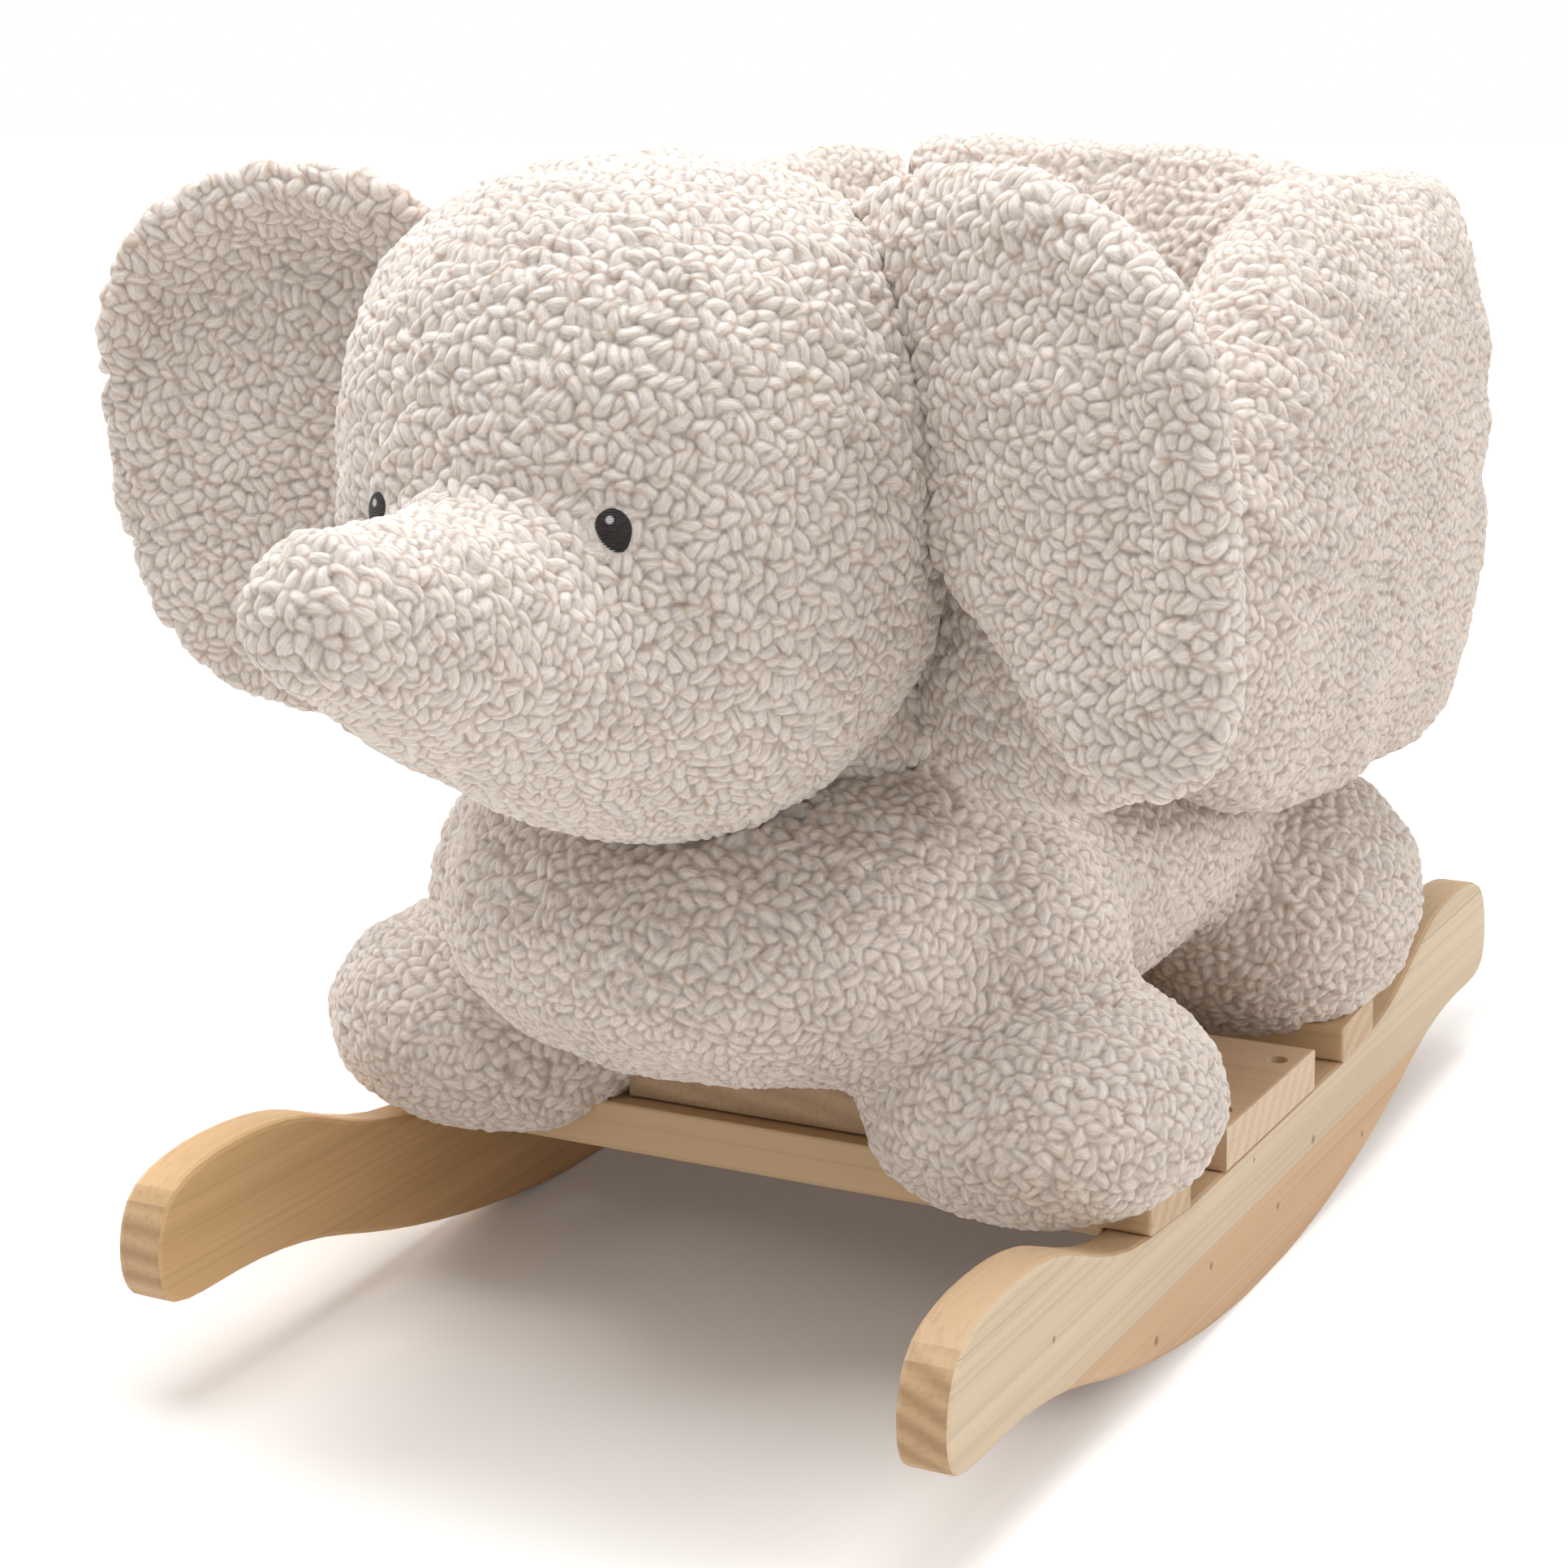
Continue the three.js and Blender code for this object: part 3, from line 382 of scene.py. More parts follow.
# Raises the grains: each point of the fine skin belongs to the highest of the grains near it
def growTufts(piece, draw, field, bare, settle):
    seeds, seedNormals, nearby = field
    places, normals, parents = readPlaces(piece), readNormals(piece), findParents(piece)
    way = layGrains(seeds, seedNormals)
    trait = draw.random((len(seeds), 3))
    way += np.cross(seedNormals, way) * draw.normal(size=(len(seeds), 1)) * pile["stray"]
    best = np.full(len(places), -pile["beyond"])
    second = best.copy()
    strand = np.zeros((len(places), 3))
    for turn in range(pile["nearby"]):
        pick = nearby[parents, turn]
        away = places - seeds[pick]
        away -= (away * normals).sum(1)[:, None] * normals
        lie = unitRows(way[pick] - (way[pick] * normals).sum(1)[:, None] * normals)
        tone, side, size = trait[pick].T
        along = (away * lie).sum(1)
        across = (away * np.cross(normals, lie)).sum(1) + pile["bow"] * (2 * size - 1) * along * along
        hidden = (seedNormals[pick] * normals).sum(1) < 0
        narrow = pile["narrow"] * (1 - pile["narrowSpread"] / 2 + pile["narrowSpread"] * size)
        far = (across ** 2 + (narrow * along) ** 2) / pile["halfWidth"] ** 2 + pile["beyond"] * hidden
        tilt = pile["tilt"] * along * np.where(side > pile["tiltBack"], 1, -1)
        lift = pile["uneven"] * (2 * tone - 1) + tilt
        rise = pile["height"] * (1 - far) + lift
        better = rise > best
        second = np.where(better, best, np.maximum(second, rise))
        best = np.where(better, rise, best)
        own = side * pile["strandShift"][0] + size * pile["strandShift"][1]
        strand[better] = np.stack([across, along, own], 1)[better]
    # How far a point lies from the crevice to a neighbouring grain: the mask for the painted shade there
    inward = np.clip((best - second) / pile["crevice"], 0, 1)
    filled = best + np.maximum(0, pile["merge"] - (best - second)) ** 2 / (4 * pile["merge"])
    lumpy = np.maximum(filled, 0) - pile["sink"] * pile["height"] + lumpAt(places)
    keep = np.ones(len(places))
    for spot, inner, outer in bare:
        keep *= smoothStep(np.linalg.norm(places - np.array(spot), axis=1), inner, outer)
    grown = places + normals * (lumpy * keep + pile["stand"])[:, None]
    writePlaces(piece, settle(grown) if settle else grown)
    writeValues(piece, "creviceShadeMask", inward * keep + (1 - keep) * pile["bareShadeMask"])
    writeValues(piece, "strand", strand)


# Grows the pile, lays the finish on, attaches the piece to the rocking body or bakes an ear's placement into
# its mesh, and hides the parts that the cover stands for
def finishPlush(piece, cover, bare=(), settle=None):
    draw = np.random.default_rng(cover["seed"])
    field = gatherSeeds(piece, draw)
    levels = 2
    useModifier(piece, "SUBSURF", levels=levels, render_levels=levels)
    growTufts(piece, draw, field, bare, settle)
    smoothFaces(piece)
    sherpa = fleece[cover["fleece"]]
    piece.data.materials.clear()
    piece.data.materials.append(sherpa["finish"])
    if cover["body"] == "rocking_body":
        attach(piece, cover["body"])
    else:
        bendEar(piece)
    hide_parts(*cover["nodes"])
    print(piece.name, len(piece.data.polygons), "faces,", len(field[0]), "grains")


# Helpers for shader trees: an input that is given a socket is joined to it, any other is set
def setInputs(tree, node, inputs):
    for key, value in inputs.items():
        socket = node.inputs[key]
        if isinstance(value, bpy.types.NodeSocket):
            tree.links.new(value, socket)
        else:
            socket.default_value = (*value, 1) if socket.type == "RGBA" else value


def addNode(tree, kind, place, inputs=None, **settings):
    node = tree.nodes.new(kind)
    node.location = place
    for key, value in settings.items():
        setattr(node, key, value)
    setInputs(tree, node, inputs or {})
    return node


def addMath(tree, place, operation, *values, **settings):
    inputs = dict(enumerate(values))
    return addNode(tree, "ShaderNodeMath", place, inputs, operation=operation, **settings).outputs[0]


def addRange(tree, place, value, low, high, start=0, end=1, kind="LINEAR"):
    inputs = {"Value": value, "From Min": low, "From Max": high, "To Min": start, "To Max": end}
    return addNode(tree, "ShaderNodeMapRange", place, inputs, interpolation_type=kind).outputs["Result"]


def addMapping(tree, place, vector, **changes):
    inputs = {"Vector": vector, **{key.title(): value for key, value in changes.items()}}
    return addNode(tree, "ShaderNodeMapping", place, inputs).outputs["Vector"]


def addNoise(tree, place, vector, scale=1, detail=2, distortion=0):
    inputs = {"Vector": vector, "Scale": scale, "Detail": detail, "Distortion": distortion}
    return addNode(tree, "ShaderNodeTexNoise", place, inputs).outputs["Fac"]


def addBump(tree, place, height, strength, distance):
    inputs = {"Height": height, "Strength": strength, "Distance": distance}
    return addNode(tree, "ShaderNodeBump", place, inputs).outputs["Normal"]


# Stops are places and shades, grey where a shade is one number
def ramp(tree, place, share, stops):
    node = addNode(tree, "ShaderNodeValToRGB", place, {"Fac": share})
    elements = node.color_ramp.elements
    while len(elements) < len(stops):
        elements.new(0.5)
    for element, (at, shade) in zip(elements, stops):
        element.position = at
        element.color = (*shade, 1) if isinstance(shade, tuple) else (shade, shade, shade, 1)
    return node.outputs["Color"]


def mixColours(tree, place, share, first, second, blend="MIX"):
    inputs = {0: share, 6: first, 7: second}
    return addNode(tree, "ShaderNodeMix", place, inputs, data_type="RGBA", blend_type=blend).outputs[2]


def readObject(tree, place):
    return addNode(tree, "ShaderNodeTexCoord", place).outputs["Object"]


def newFinish(name):
    finish = bpy.data.materials.new(name)
    finish.use_nodes = True
    return finish, finish.node_tree, finish.node_tree.nodes["Principled BSDF"]


def newGroup(name, inputs, outputs):
    group = bpy.data.node_groups.new(name, "ShaderNodeTree")
    for way, sockets in (("INPUT", inputs), ("OUTPUT", outputs)):
        for socketName, kind in sockets.items():
            group.interface.new_socket(name=socketName, in_out=way, socket_type="NodeSocket" + kind)
    start = addNode(group, "NodeGroupInput", (-900, 0))
    return group, start.outputs, addNode(group, "NodeGroupOutput", (900, 0))


# The two shades of fleece: the tip is the wool's own colour, the root is painted shade for the crevices
# between the grains
fleece = {
    "cream": {"slot": "sherpa_cream", "tip": (0.79, 0.725, 0.67), "root": (0.60, 0.47, 0.38)},
    "greige": {"slot": "sherpa_greige", "tip": (0.775, 0.70, 0.64), "root": (0.575, 0.445, 0.355)},
}


# Curly pile: painted shade darkens it between the tufts, with fine strands along each of them
def makePileGroup():
    group, start, end = newGroup(
        "curly pile", {"Tip": "Color", "Crevice Shade": "Color"}, {"Colour": "Color", "Height": "Float"})
    depth = addNode(group, "ShaderNodeAttribute", (-700, 200), attribute_name="creviceShadeMask")
    strand = addNode(group, "ShaderNodeAttribute", (-700, -100), attribute_name="strand")
    stretched = addMapping(group, (-500, -100), strand.outputs["Vector"], scale=(1.5, 0.3, 1))
    fibre = addNoise(group, (-300, -100), stretched, detail=3)
    cloud = addNoise(group, (-500, -400), readObject(group, (-700, -400)), scale=22, detail=4)
    # Painted shade: the root colour fills the crevices between the grains and the tip colour the grains
    opened = ramp(group, (-450, 300), depth.outputs["Fac"], [(0, 0), (0.45, 0.6), (1, 1)])
    base = mixColours(group, (-150, 300), opened, start["Crevice Shade"], start["Tip"])
    fibreShade = ramp(group, (-100, 0), fibre, [(0.35, 0.82), (0.65, 1.10)])
    lined = mixColours(group, (150, 200), 0.8, base, fibreShade, "MULTIPLY")
    cloudShade = ramp(group, (-100, -350), cloud, [(0.35, 0.94), (0.65, 1.03)])
    clouded = mixColours(group, (400, 200), 1.0, lined, cloudShade, "MULTIPLY")
    setInputs(group, end, {"Colour": clouded, "Height": fibre})
    return group


pileGroup = makePileGroup()


def makeSherpa(name, sherpa):
    finish, tree, shader = newFinish(name)
    # The root colour is painted shade for the crevices
    colours = {"Tip": sherpa["tip"], "Crevice Shade": sherpa["root"]}
    wool = addNode(tree, "ShaderNodeGroup", (-500, 100), colours, node_tree=pileGroup)
    setInputs(tree, shader, {
        "Base Color": wool.outputs["Colour"],
        "Normal": addBump(tree, (-250, -150), wool.outputs["Height"], 0.6, 0.0008),
        "Roughness": 0.95,
        "Specular IOR Level": 0.15,
        "Subsurface Weight": 0.45,
        "Subsurface Radius": (1, 0.65, 0.45),
        "Subsurface Scale": 0.003,
        "Sheen Weight": 0.25,
        "Sheen Roughness": 0.6,
        "Sheen Tint": (1, 0.97, 0.94),
    })
    return finish


for shadeName, shadeValues in fleece.items():
    shadeValues["finish"] = makeSherpa("sherpa " + shadeName, shadeValues)
print("sherpa finishes made")

# Eyes: satin stitches laid across an oval, with a pale spot; no pile grows under them
eye = {
    "side": 44,
    "ahead": -285,
    "height": 339,
    "bare": (8.5, 10.5),
    "halfWidth": 6.3,
    "halfHeight": 7.8,
    "dome": 1.3,
    "sink": 0.5,
    "lookUp": 4.0,
    "patch": (4, 20),
    "facets": (36, 130),
    "stitchPitch": 0.8,
    "stitchRise": 0.28,
    "ragged": 0.035,
    "raggedFrom": 0.5,
    "rimShare": 0.05,
    "roundness": 0.45,
    "thickness": 0.8,
    "spotPlace": (0.6, 4.2),
    "spotRadius": 1.3,
    "spotEdge": 0.2,
    "spotColour": (0.52, 0.52, 0.53),
    "threadScale": (300, 300, 2600),
}


# Head with its neck and trunk
def trunkCrease(places):
    crease = head["crease"]
    ring = np.hypot(places[:, 0], places[:, 2] - crease["height"])
    along = smoothStep(-places[:, 1], *crease["start"]) * (1 - smoothStep(-places[:, 1], *crease["end"]))
    return along * (1 - smoothStep(ring, *crease["reach"]))


head = {
    "ball": {"place": (0, -187, 332), "radii": (105, 105, 116), "plan": 2, "above": 2.6, "below": 2.15},
    "neck": {"place": (0, -124, 252), "radii": (80, 38, 48), "plan": 2.2, "above": 2.3, "below": 2.3},
    "trunkRoot": (0, -235, 289),
    "trunkTip": (0, -397, 332),
    "trunkSag": 2,
    "rootRadius": 62,
    "rootShare": 0.04,
    "tipRadius": 24,
    "tipFullness": 2.3,
    "crease": {"height": 300, "start": (225, 262), "end": (318, 350), "reach": (80, 105)},
    "cover": {"fleece": "cream", "body": "rocking_body", "nodes": ("head", "trunk"), "voxel": 4.7,
              "rounds": 2, "crease": trunkCrease, "creaseRounds": 26, "pressure": 2, "cap": 2.5,
              "fill": 0.85, "seed": 11},
}


def trunkRing(along, turn):
    root, tip = np.array(head["trunkRoot"], float), np.array(head["trunkTip"], float)
    length = np.linalg.norm(tip - root)
    up = np.cross((tip - root) / length, (1, 0, 0))
    endShare, rootShare = head["tipRadius"] / length, head["rootShare"]
    share = (1 - np.cos(along * math.pi)) / 2
    narrowing = np.minimum(1, share / (1 - endShare))
    taper = head["rootRadius"] + (head["tipRadius"] - head["rootRadius"]) * narrowing
    toTip = np.maximum(0, share - (1 - endShare)) / endShare
    toRoot = np.maximum(0, rootShare - share) / rootShare
    radius = taper * np.sqrt(np.maximum(0, 1 - toTip ** head["tipFullness"]))
    radius = radius * np.sqrt(np.maximum(0, 1 - toRoot ** 2))
    middle = root + (tip - root) * share[:, None]
    middle[:, 2] -= head["trunkSag"] * np.sin(share * math.pi)
    level = np.array((1.0, 0, 0))
    return middle + radius[:, None] * (np.cos(turn)[:, None] * level + np.sin(turn)[:, None] * up)


def makeHead():
    forms = [addBall("head ball", head["ball"]), addBall("neck ball", head["neck"])]
    piece = joinForms("plushHead", forms + [addSleeve("trunk", trunkRing)])
    weldSkin(piece, head["cover"])
    stuff(piece, head["cover"])
    writePlaces(piece, pressOff(readPlaces(piece), torso["ball"], 0.5))
    spots = [((side * eye["side"], eye["ahead"], eye["height"]), *eye["bare"]) for side in (-1, 1)]
    finishPlush(piece, head["cover"], spots, lambda places: pressOff(places, torso["ball"], 2))
    return piece


# Stuffed body: torso, shoulders and feet under one skin, flat on top where the seat board lies on it
torso = {
    "ball": {"place": (0, 5, 170), "radii": (140, 240, 74), "plan": 2.4, "above": 2.4, "below": 2.0},
    "foot": {"place": (120, 118, 107), "radii": (65, 63, 42), "plan": 2.1, "above": 2.2, "below": 2.1},
    "shoulder": {"place": (90, 106, 158), "radii": (53, 53, 53), "plan": 2.2, "above": 2.3, "below": 2.3},
    "thighRise": 14,
    "seatUnder": 213,
    "seatFront": (-103, -95),
    "cover": {"fleece": "greige", "body": "rocking_body",
              "nodes": ("torso", "leg_front_left", "leg_front_right", "leg_rear_left", "leg_rear_right"),
              "voxel": 5.8, "rounds": 9, "pressure": 2, "cap": 3, "fill": 0.85, "seed": 12},
}


def flattenTop(places):
    behind = smoothStep(places[:, 1], *torso["seatFront"])
    low = np.minimum(places[:, 2], torso["seatUnder"])
    places[:, 2] += (low - places[:, 2]) * behind
    return places


def legBalls(side, end):
    rise = torso["thighRise"] if end > 0 else 0
    balls = []
    for name, lift in (("foot", rise), ("shoulder", 0)):
        x, y, z = torso[name]["place"]
        wide, deep, tall = torso[name]["radii"]
        place, radii = (side * x, end * y, z + lift), (wide, deep, tall + rise)
        balls.append({**torso[name], "place": place, "radii": radii})
    return balls


def makeBody():
    forms = [addBall("torso ball", torso["ball"])]
    for side in (-1, 1):
        for end in (-1, 1):
            forms += [addBall("leg ball", ball) for ball in legBalls(side, end)]
    piece = joinForms("plushBody", forms)
    weldSkin(piece, torso["cover"])
    stuff(piece, torso["cover"])
    finishPlush(piece, torso["cover"], settle=flattenTop)


plushHead = makeHead()
makeBody()
print("head and body made")

# Ears: each lies in a plane that leans forwards from its root on the head
ears = {
    "root": (101, -153),
    "bend": (-6, 26),
    "bendHeight": 340,
    "flare": math.radians(20),
    "offHead": 0.3,
    "near": {
        "outline": [(-38, 424), (-24, 402), (-12, 385), (-8, 362), (-5, 339), (4, 322), (16, 308),
                    (33, 297), (46, 282), (58, 269), (69, 257), (83, 249), (101, 247), (117, 254),
                    (128, 263), (132, 281), (132, 308), (131, 330), (130, 352), (128, 372), (125, 387),
                    (118, 401), (104, 417), (90, 427), (77, 435), (64, 442), (52, 447), (34, 448),
                    (14, 446), (-6, 443), (-24, 438)],
        "centre": (70, 345),
        "thickness": 30,
        "ahead": 8,
        "topAhead": 5,
        "topFrom": (260, 430),
        "valley": 8,
        "valleyPlace": (66, 347),
        "valleyRadii": (62, 100),
        "valleyShare": 0.62,
        "valleyWidth": 0.2,
        "valleyFrom": (60, 95),
        "fold": 5,
        "foldPlace": (20, 340),
        "foldFrom": (-8, 16),
        "foldTop": (330, 370),
    },
    "nearLobe": {
        "outline": [(-36, 352), (-38, 325), (-38, 300), (-34, 280), (-33, 262), (-29, 250), (-22, 240),
                    (-8, 232), (12, 228), (32, 228), (60, 233), (92, 246), (98, 300), (60, 356), (0, 364)],
        "centre": (32, 290),
        "thickness": 22,
        "ahead": -17,
        "sweep": 0.0012,
        "sweepMiddle": 300,
    },
    "nearCover": {"fleece": "cream", "body": "left_ear", "nodes": ("ear_left",), "voxel": 4.4, "rounds": 2,
                  "pressure": 2, "cap": 1.5, "fill": 0.6, "seed": 31},
    "far": {"halfWidth": 80, "halfHeight": 103, "fullness": 2.3, "inset": 27, "height": 344, "thickness": 25,
            "cup": 14, "roll": 22, "rollEdge": (0.72, 1.0), "rollTop": (0.1, 0.7)},
    "farCover": {"fleece": "cream", "body": "right_ear", "nodes": ("ear_right",), "voxel": 4.5, "rounds": 2,
                 "pressure": 2, "cap": 2, "fill": 0.6, "seed": 32},
}


# From out, up and forwards in an ear's own plane to its place on the head
def earPlace(side, out, up, ahead):
    flare = ears["flare"]
    x = side * (ears["root"][0] + out * math.cos(flare) - ahead * math.sin(flare))
    y = ears["root"][1] - out * math.sin(flare) - ahead * math.cos(flare)
    return np.stack([x, y, up], 1)


# Bakes an ear's placement into its mesh
def bendEar(piece):
    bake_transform(piece)


def coverEar(piece, cover):
    weldSkin(piece, cover)
    stuff(piece, cover)
    writePlaces(piece, pressOff(readPlaces(piece), head["ball"], ears["offHead"]))
    finishPlush(piece, cover)


# The near ear has a valley inside its rim, a fold at the front and a lobe behind it
def makeNearEar():
    near, lobe = ears["near"], ears["nearLobe"]
    valleyX, valleyZ = near["valleyPlace"]
    wide, tall = near["valleyRadii"]
    foldX, foldZ = near["foldPlace"]

    def mainPlace(out, up, ahead):
        reach = np.hypot((out - valleyX) / wide, (up - valleyZ) / tall)
        inside = smoothStep(out + 0.3 * (up - foldZ), *near["valleyFrom"])
        depth = np.exp(-((reach - near["valleyShare"]) / near["valleyWidth"]) ** 2)
        valley = near["valley"] * depth * inside
        below = 1 - smoothStep(up, *near["foldTop"])
        fold = near["fold"] * smoothStep(foldZ - up - 0.9 * (out - foldX), *near["foldFrom"]) * below
        rise = near["topAhead"] * smoothStep(up, *near["topFrom"])
        return earPlace(1, out, up, ahead + near["ahead"] + rise - valley + fold)

    def lobePlace(out, up, ahead):
        return earPlace(1, out, up, ahead + lobe["ahead"] + lobe["sweep"] * (up - lobe["sweepMiddle"]) ** 2)

    forms = [addPad("ear front", near, mainPlace), addPad("ear lobe", lobe, lobePlace)]
    coverEar(joinForms("plushLeftEar", forms), ears["nearCover"])


# The far ear is an oval cup whose upper rim rolls forwards
def makeFarEar():
    far = ears["far"]
    power = 2 / far["fullness"]
    centre = (far["halfWidth"] - far["inset"], far["height"])
    outline = []
    for angle in np.linspace(0, 2 * math.pi, 48, endpoint=False):
        wide = math.copysign(abs(math.cos(angle)) ** power, math.cos(angle))
        tall = math.copysign(abs(math.sin(angle)) ** power, math.sin(angle))
        outline.append((centre[0] + wide * far["halfWidth"], centre[1] + tall * far["halfHeight"]))

    def cupPlace(out, up, ahead):
        x = (out - far["halfWidth"] + far["inset"]) / far["halfWidth"]
        z = (up - far["height"]) / far["halfHeight"]
        edge = np.hypot(x * 0.9, z)
        cup = far["cup"] * (0.5 * z * z + 0.5 * np.maximum(0, x) ** 2)
        cup += far["roll"] * smoothStep(edge, *far["rollEdge"]) * smoothStep(z + 0.2 * x, *far["rollTop"])
        return earPlace(-1, out, up, ahead + cup)

    pad = {"outline": outline, "centre": centre, "thickness": far["thickness"]}
    coverEar(joinForms("plushRightEar", [addPad("ear", pad, cupPlace)]), ears["farCover"])


makeNearEar()
makeFarEar()
print("ears made")

# Tub seat: two wings and a backrest along one line in plan
tub = {
    "halfWidth": 150,
    "straight": 121,
    "back": 255,
    "nose": 90,
    "inner": 26,
    "outer": 39,
    "top": 430,
    "bottom": 177,
    "fullness": 2.4,
    "corner": 3,
    "cornerShare": 0.76,
    "capShare": 0.02,
    # along, top, bottom and thickness, in shares
    "wing": [(0, 0.47, 0.38, 0.12), (0.015, 0.55, 0.29, 0.42), (0.05, 0.655, 0.195, 0.68),
             (0.11, 0.765, 0.125, 0.85), (0.2, 0.895, 0.07, 0.96), (0.32, 0.985, 0.03, 1),
             (0.46, 1, 0.008, 1), (0.6, 1, 0, 1), (0.7, 0.995, 0, 1), (0.8, 0.99, 0.005, 1),
             (0.87, 0.985, 0.015, 1), (0.94, 0.965, 0.03, 0.98), (1, 0.94, 0.06, 0.92)],
    "rest": [(0, 0.955, 0.05, 0.92), (0.1, 0.98, 0.03, 0.98), (0.3, 1, 0.01, 1), (0.6, 1.01, 0, 1),
             (1, 1.01, 0, 1)],
    "farLift": 0.045,
    "nearDrop": 0.05,
    "liftFrom": 0.75,
    "foldDepth": 1.5,
    "offBody": 0.5,
    "wingCover": {"fleece": "greige", "body": "rocking_body", "voxel": 5.9, "rounds": 2, "pressure": 3,
                  "cap": 4, "fill": 0.8},
    "restCover": {"fleece": "greige", "body": "rocking_body", "nodes": ("backrest",), "voxel": 6.4,
                  "rounds": 2, "pressure": 3, "cap": 4, "fill": 0.8, "seed": 43},
}


def tubPoints():
    straight = [(tub["halfWidth"], y) for y in np.linspace(-tub["nose"], tub["straight"], 60)]
    power = 2 / tub["corner"]
    corner = [(math.cos(t) ** power * tub["halfWidth"],
               tub["straight"] + math.sin(t) ** power * (tub["back"] - tub["straight"]))
              for t in np.linspace(0, math.pi / 2, 120)[1:]]
    line = np.array(straight + corner)
    line[-1, 0] = 0
    lengths = np.concatenate([[0], np.cumsum(np.hypot(*np.diff(line, axis=0).T))])
    return line, lengths / lengths[-1]


tubLine, tubShares = tubPoints()


def tubAt(share):
    return np.interp(share, tubShares, tubLine[:, 0]), np.interp(share, tubShares, tubLine[:, 1])


# A section of the tub's wall, square to its line; side mirrors it
def tubWall(share, turn, top, bottom, thick, side):
    x, y = tubAt(share)
    step = 0.004
    aheadX, aheadY = tubAt(share + step)
    behindX, behindY = tubAt(share - step)
    dx, dy = aheadX - behindX, aheadY - behindY
    size = np.maximum(np.hypot(dx, dy), 1e-9)
    dx, dy = dx / size, dy / size
    across = signedPower(np.cos(turn), 2 / tub["fullness"])
    up = signedPower(np.sin(turn), 2 / tub["fullness"])
    half = np.where(across > 0, tub["outer"], tub["inner"]) * thick
    low = tub["bottom"] + (tub["top"] - tub["bottom"]) * bottom
    high = tub["bottom"] + (tub["top"] - tub["bottom"]) * top
    z = low + (high - low) * (up + 1) / 2
    return np.stack([side * (x + dy * across * half), y - dx * across * half, z], 1)


# How far along its wall a ring stands: the sleeve's first and last rings close its ends
def wallShare(along):
    return np.clip((along - tub["capShare"]) / (1 - 2 * tub["capShare"]), 0, 1)


# The wall's top, bottom and thickness at a share of its table, drawn in at the sleeve's ends
def wallSection(table, along, share, lift):
    cap = tub["capShare"]
    closing = np.maximum(smoothStep(along, 0, cap) * (1 - smoothStep(along, 1 - cap, 1)), cap)
    shares, tops, bottoms, thicks = np.array(table).T
    top = np.interp(share, shares, tops) + lift
    bottom = np.interp(share, shares, bottoms)
    middle = (top + bottom) / 2
    thick = np.interp(share, shares, thicks) * closing
    return middle + (top - middle) * closing, middle + (bottom - middle) * closing, thick


def wingRing(side):
    def ringAt(along, turn):
        place = (1 - np.cos(wallShare(along) * math.pi)) / 2
        lift = (tub["farLift"] if side < 0 else -tub["nearDrop"]) * smoothStep(place, tub["liftFrom"], 1)
        top, bottom, thick = wallSection(tub["wing"], along, place, lift)
        return tubWall(place * tub["cornerShare"], turn, top, bottom, thick, side)
    return ringAt


def restRing(along, turn):
    place = wallShare(along) * 2 - 1
    own = 1 - np.abs(place)
    lift = np.where(place > 0, tub["farLift"], tub["nearDrop"]) * place * np.abs(place)
    top, bottom, thick = wallSection(tub["rest"], along, own, lift)
    share = tub["cornerShare"] + (1 - tub["cornerShare"]) * own
    wall = tubWall(np.minimum(share, 0.9999), turn, top, bottom, thick, 1)
    wall[:, 0] *= np.where(place < 0, 1, -1)
    return wall


# Shallow folds that wander along a wing
def wingFolds(places):
    along, up = places[:, 1] / 1000, places[:, 2] / 1000
    wander = up * 130 + 2.2 * np.sin(along * 21) + 1.1 * np.sin(along * 47 + up * 30)
    folds = tub["foldDepth"] * np.sin(wander)
    return folds * (0.5 + 0.5 * np.sin(along * 33 + 2 * np.sin(up * 25)))


def makeWing(name, side, node, seed):
    cover = {**tub["wingCover"], "nodes": (node,), "seed": seed}
    piece = joinForms(name, [addSleeve("wing", wingRing(side), 48, 96)])
    weldSkin(piece, cover)
    stuff(piece, cover)
    places = readPlaces(piece)
    folded = places + readNormals(piece) * wingFolds(places)[:, None]
    writePlaces(piece, pressOff(folded, torso["ball"], tub["offBody"]))
    finishPlush(piece, cover)


def makeBackrest():
    piece = joinForms("plushBackrest", [addSleeve("rest", restRing, 48, 96)])
    weldSkin(piece, tub["restCover"])
    stuff(piece, tub["restCover"])
    writePlaces(piece, pressOff(readPlaces(piece), torso["ball"], tub["offBody"]))
    finishPlush(piece, tub["restCover"])


makeWing("plushLeftWing", 1, "wing_left", 41)
makeWing("plushRightWing", -1, "wing_right", 42)
makeBackrest()
print("tub seat made")

# Seat cushion: crowned, drawn in between its corners, with sewn channels across
cushion = {
    "halfWidth": 119,
    "halfLength": 149,
    "middle": 72,
    "bottom": 227,
    "thickness": 26,
    "edge": 0.4,
    "crown": 8,
    "squareness": 6,
    "pull": 5,
    "channelSpacing": 58,
    "channelWidth": 9,
    "channelDepth": 5,
    "cover": {"fleece": "greige", "body": "rocking_body", "nodes": ("seat_cushion",), "voxel": 7.4,
              "rounds": 2, "pressure": 2, "cap": 3, "fill": 0.7, "seed": 44},
}


def restOnBoard(places):
    places[:, 2] = np.maximum(places[:, 2], cushion["bottom"])
    return places


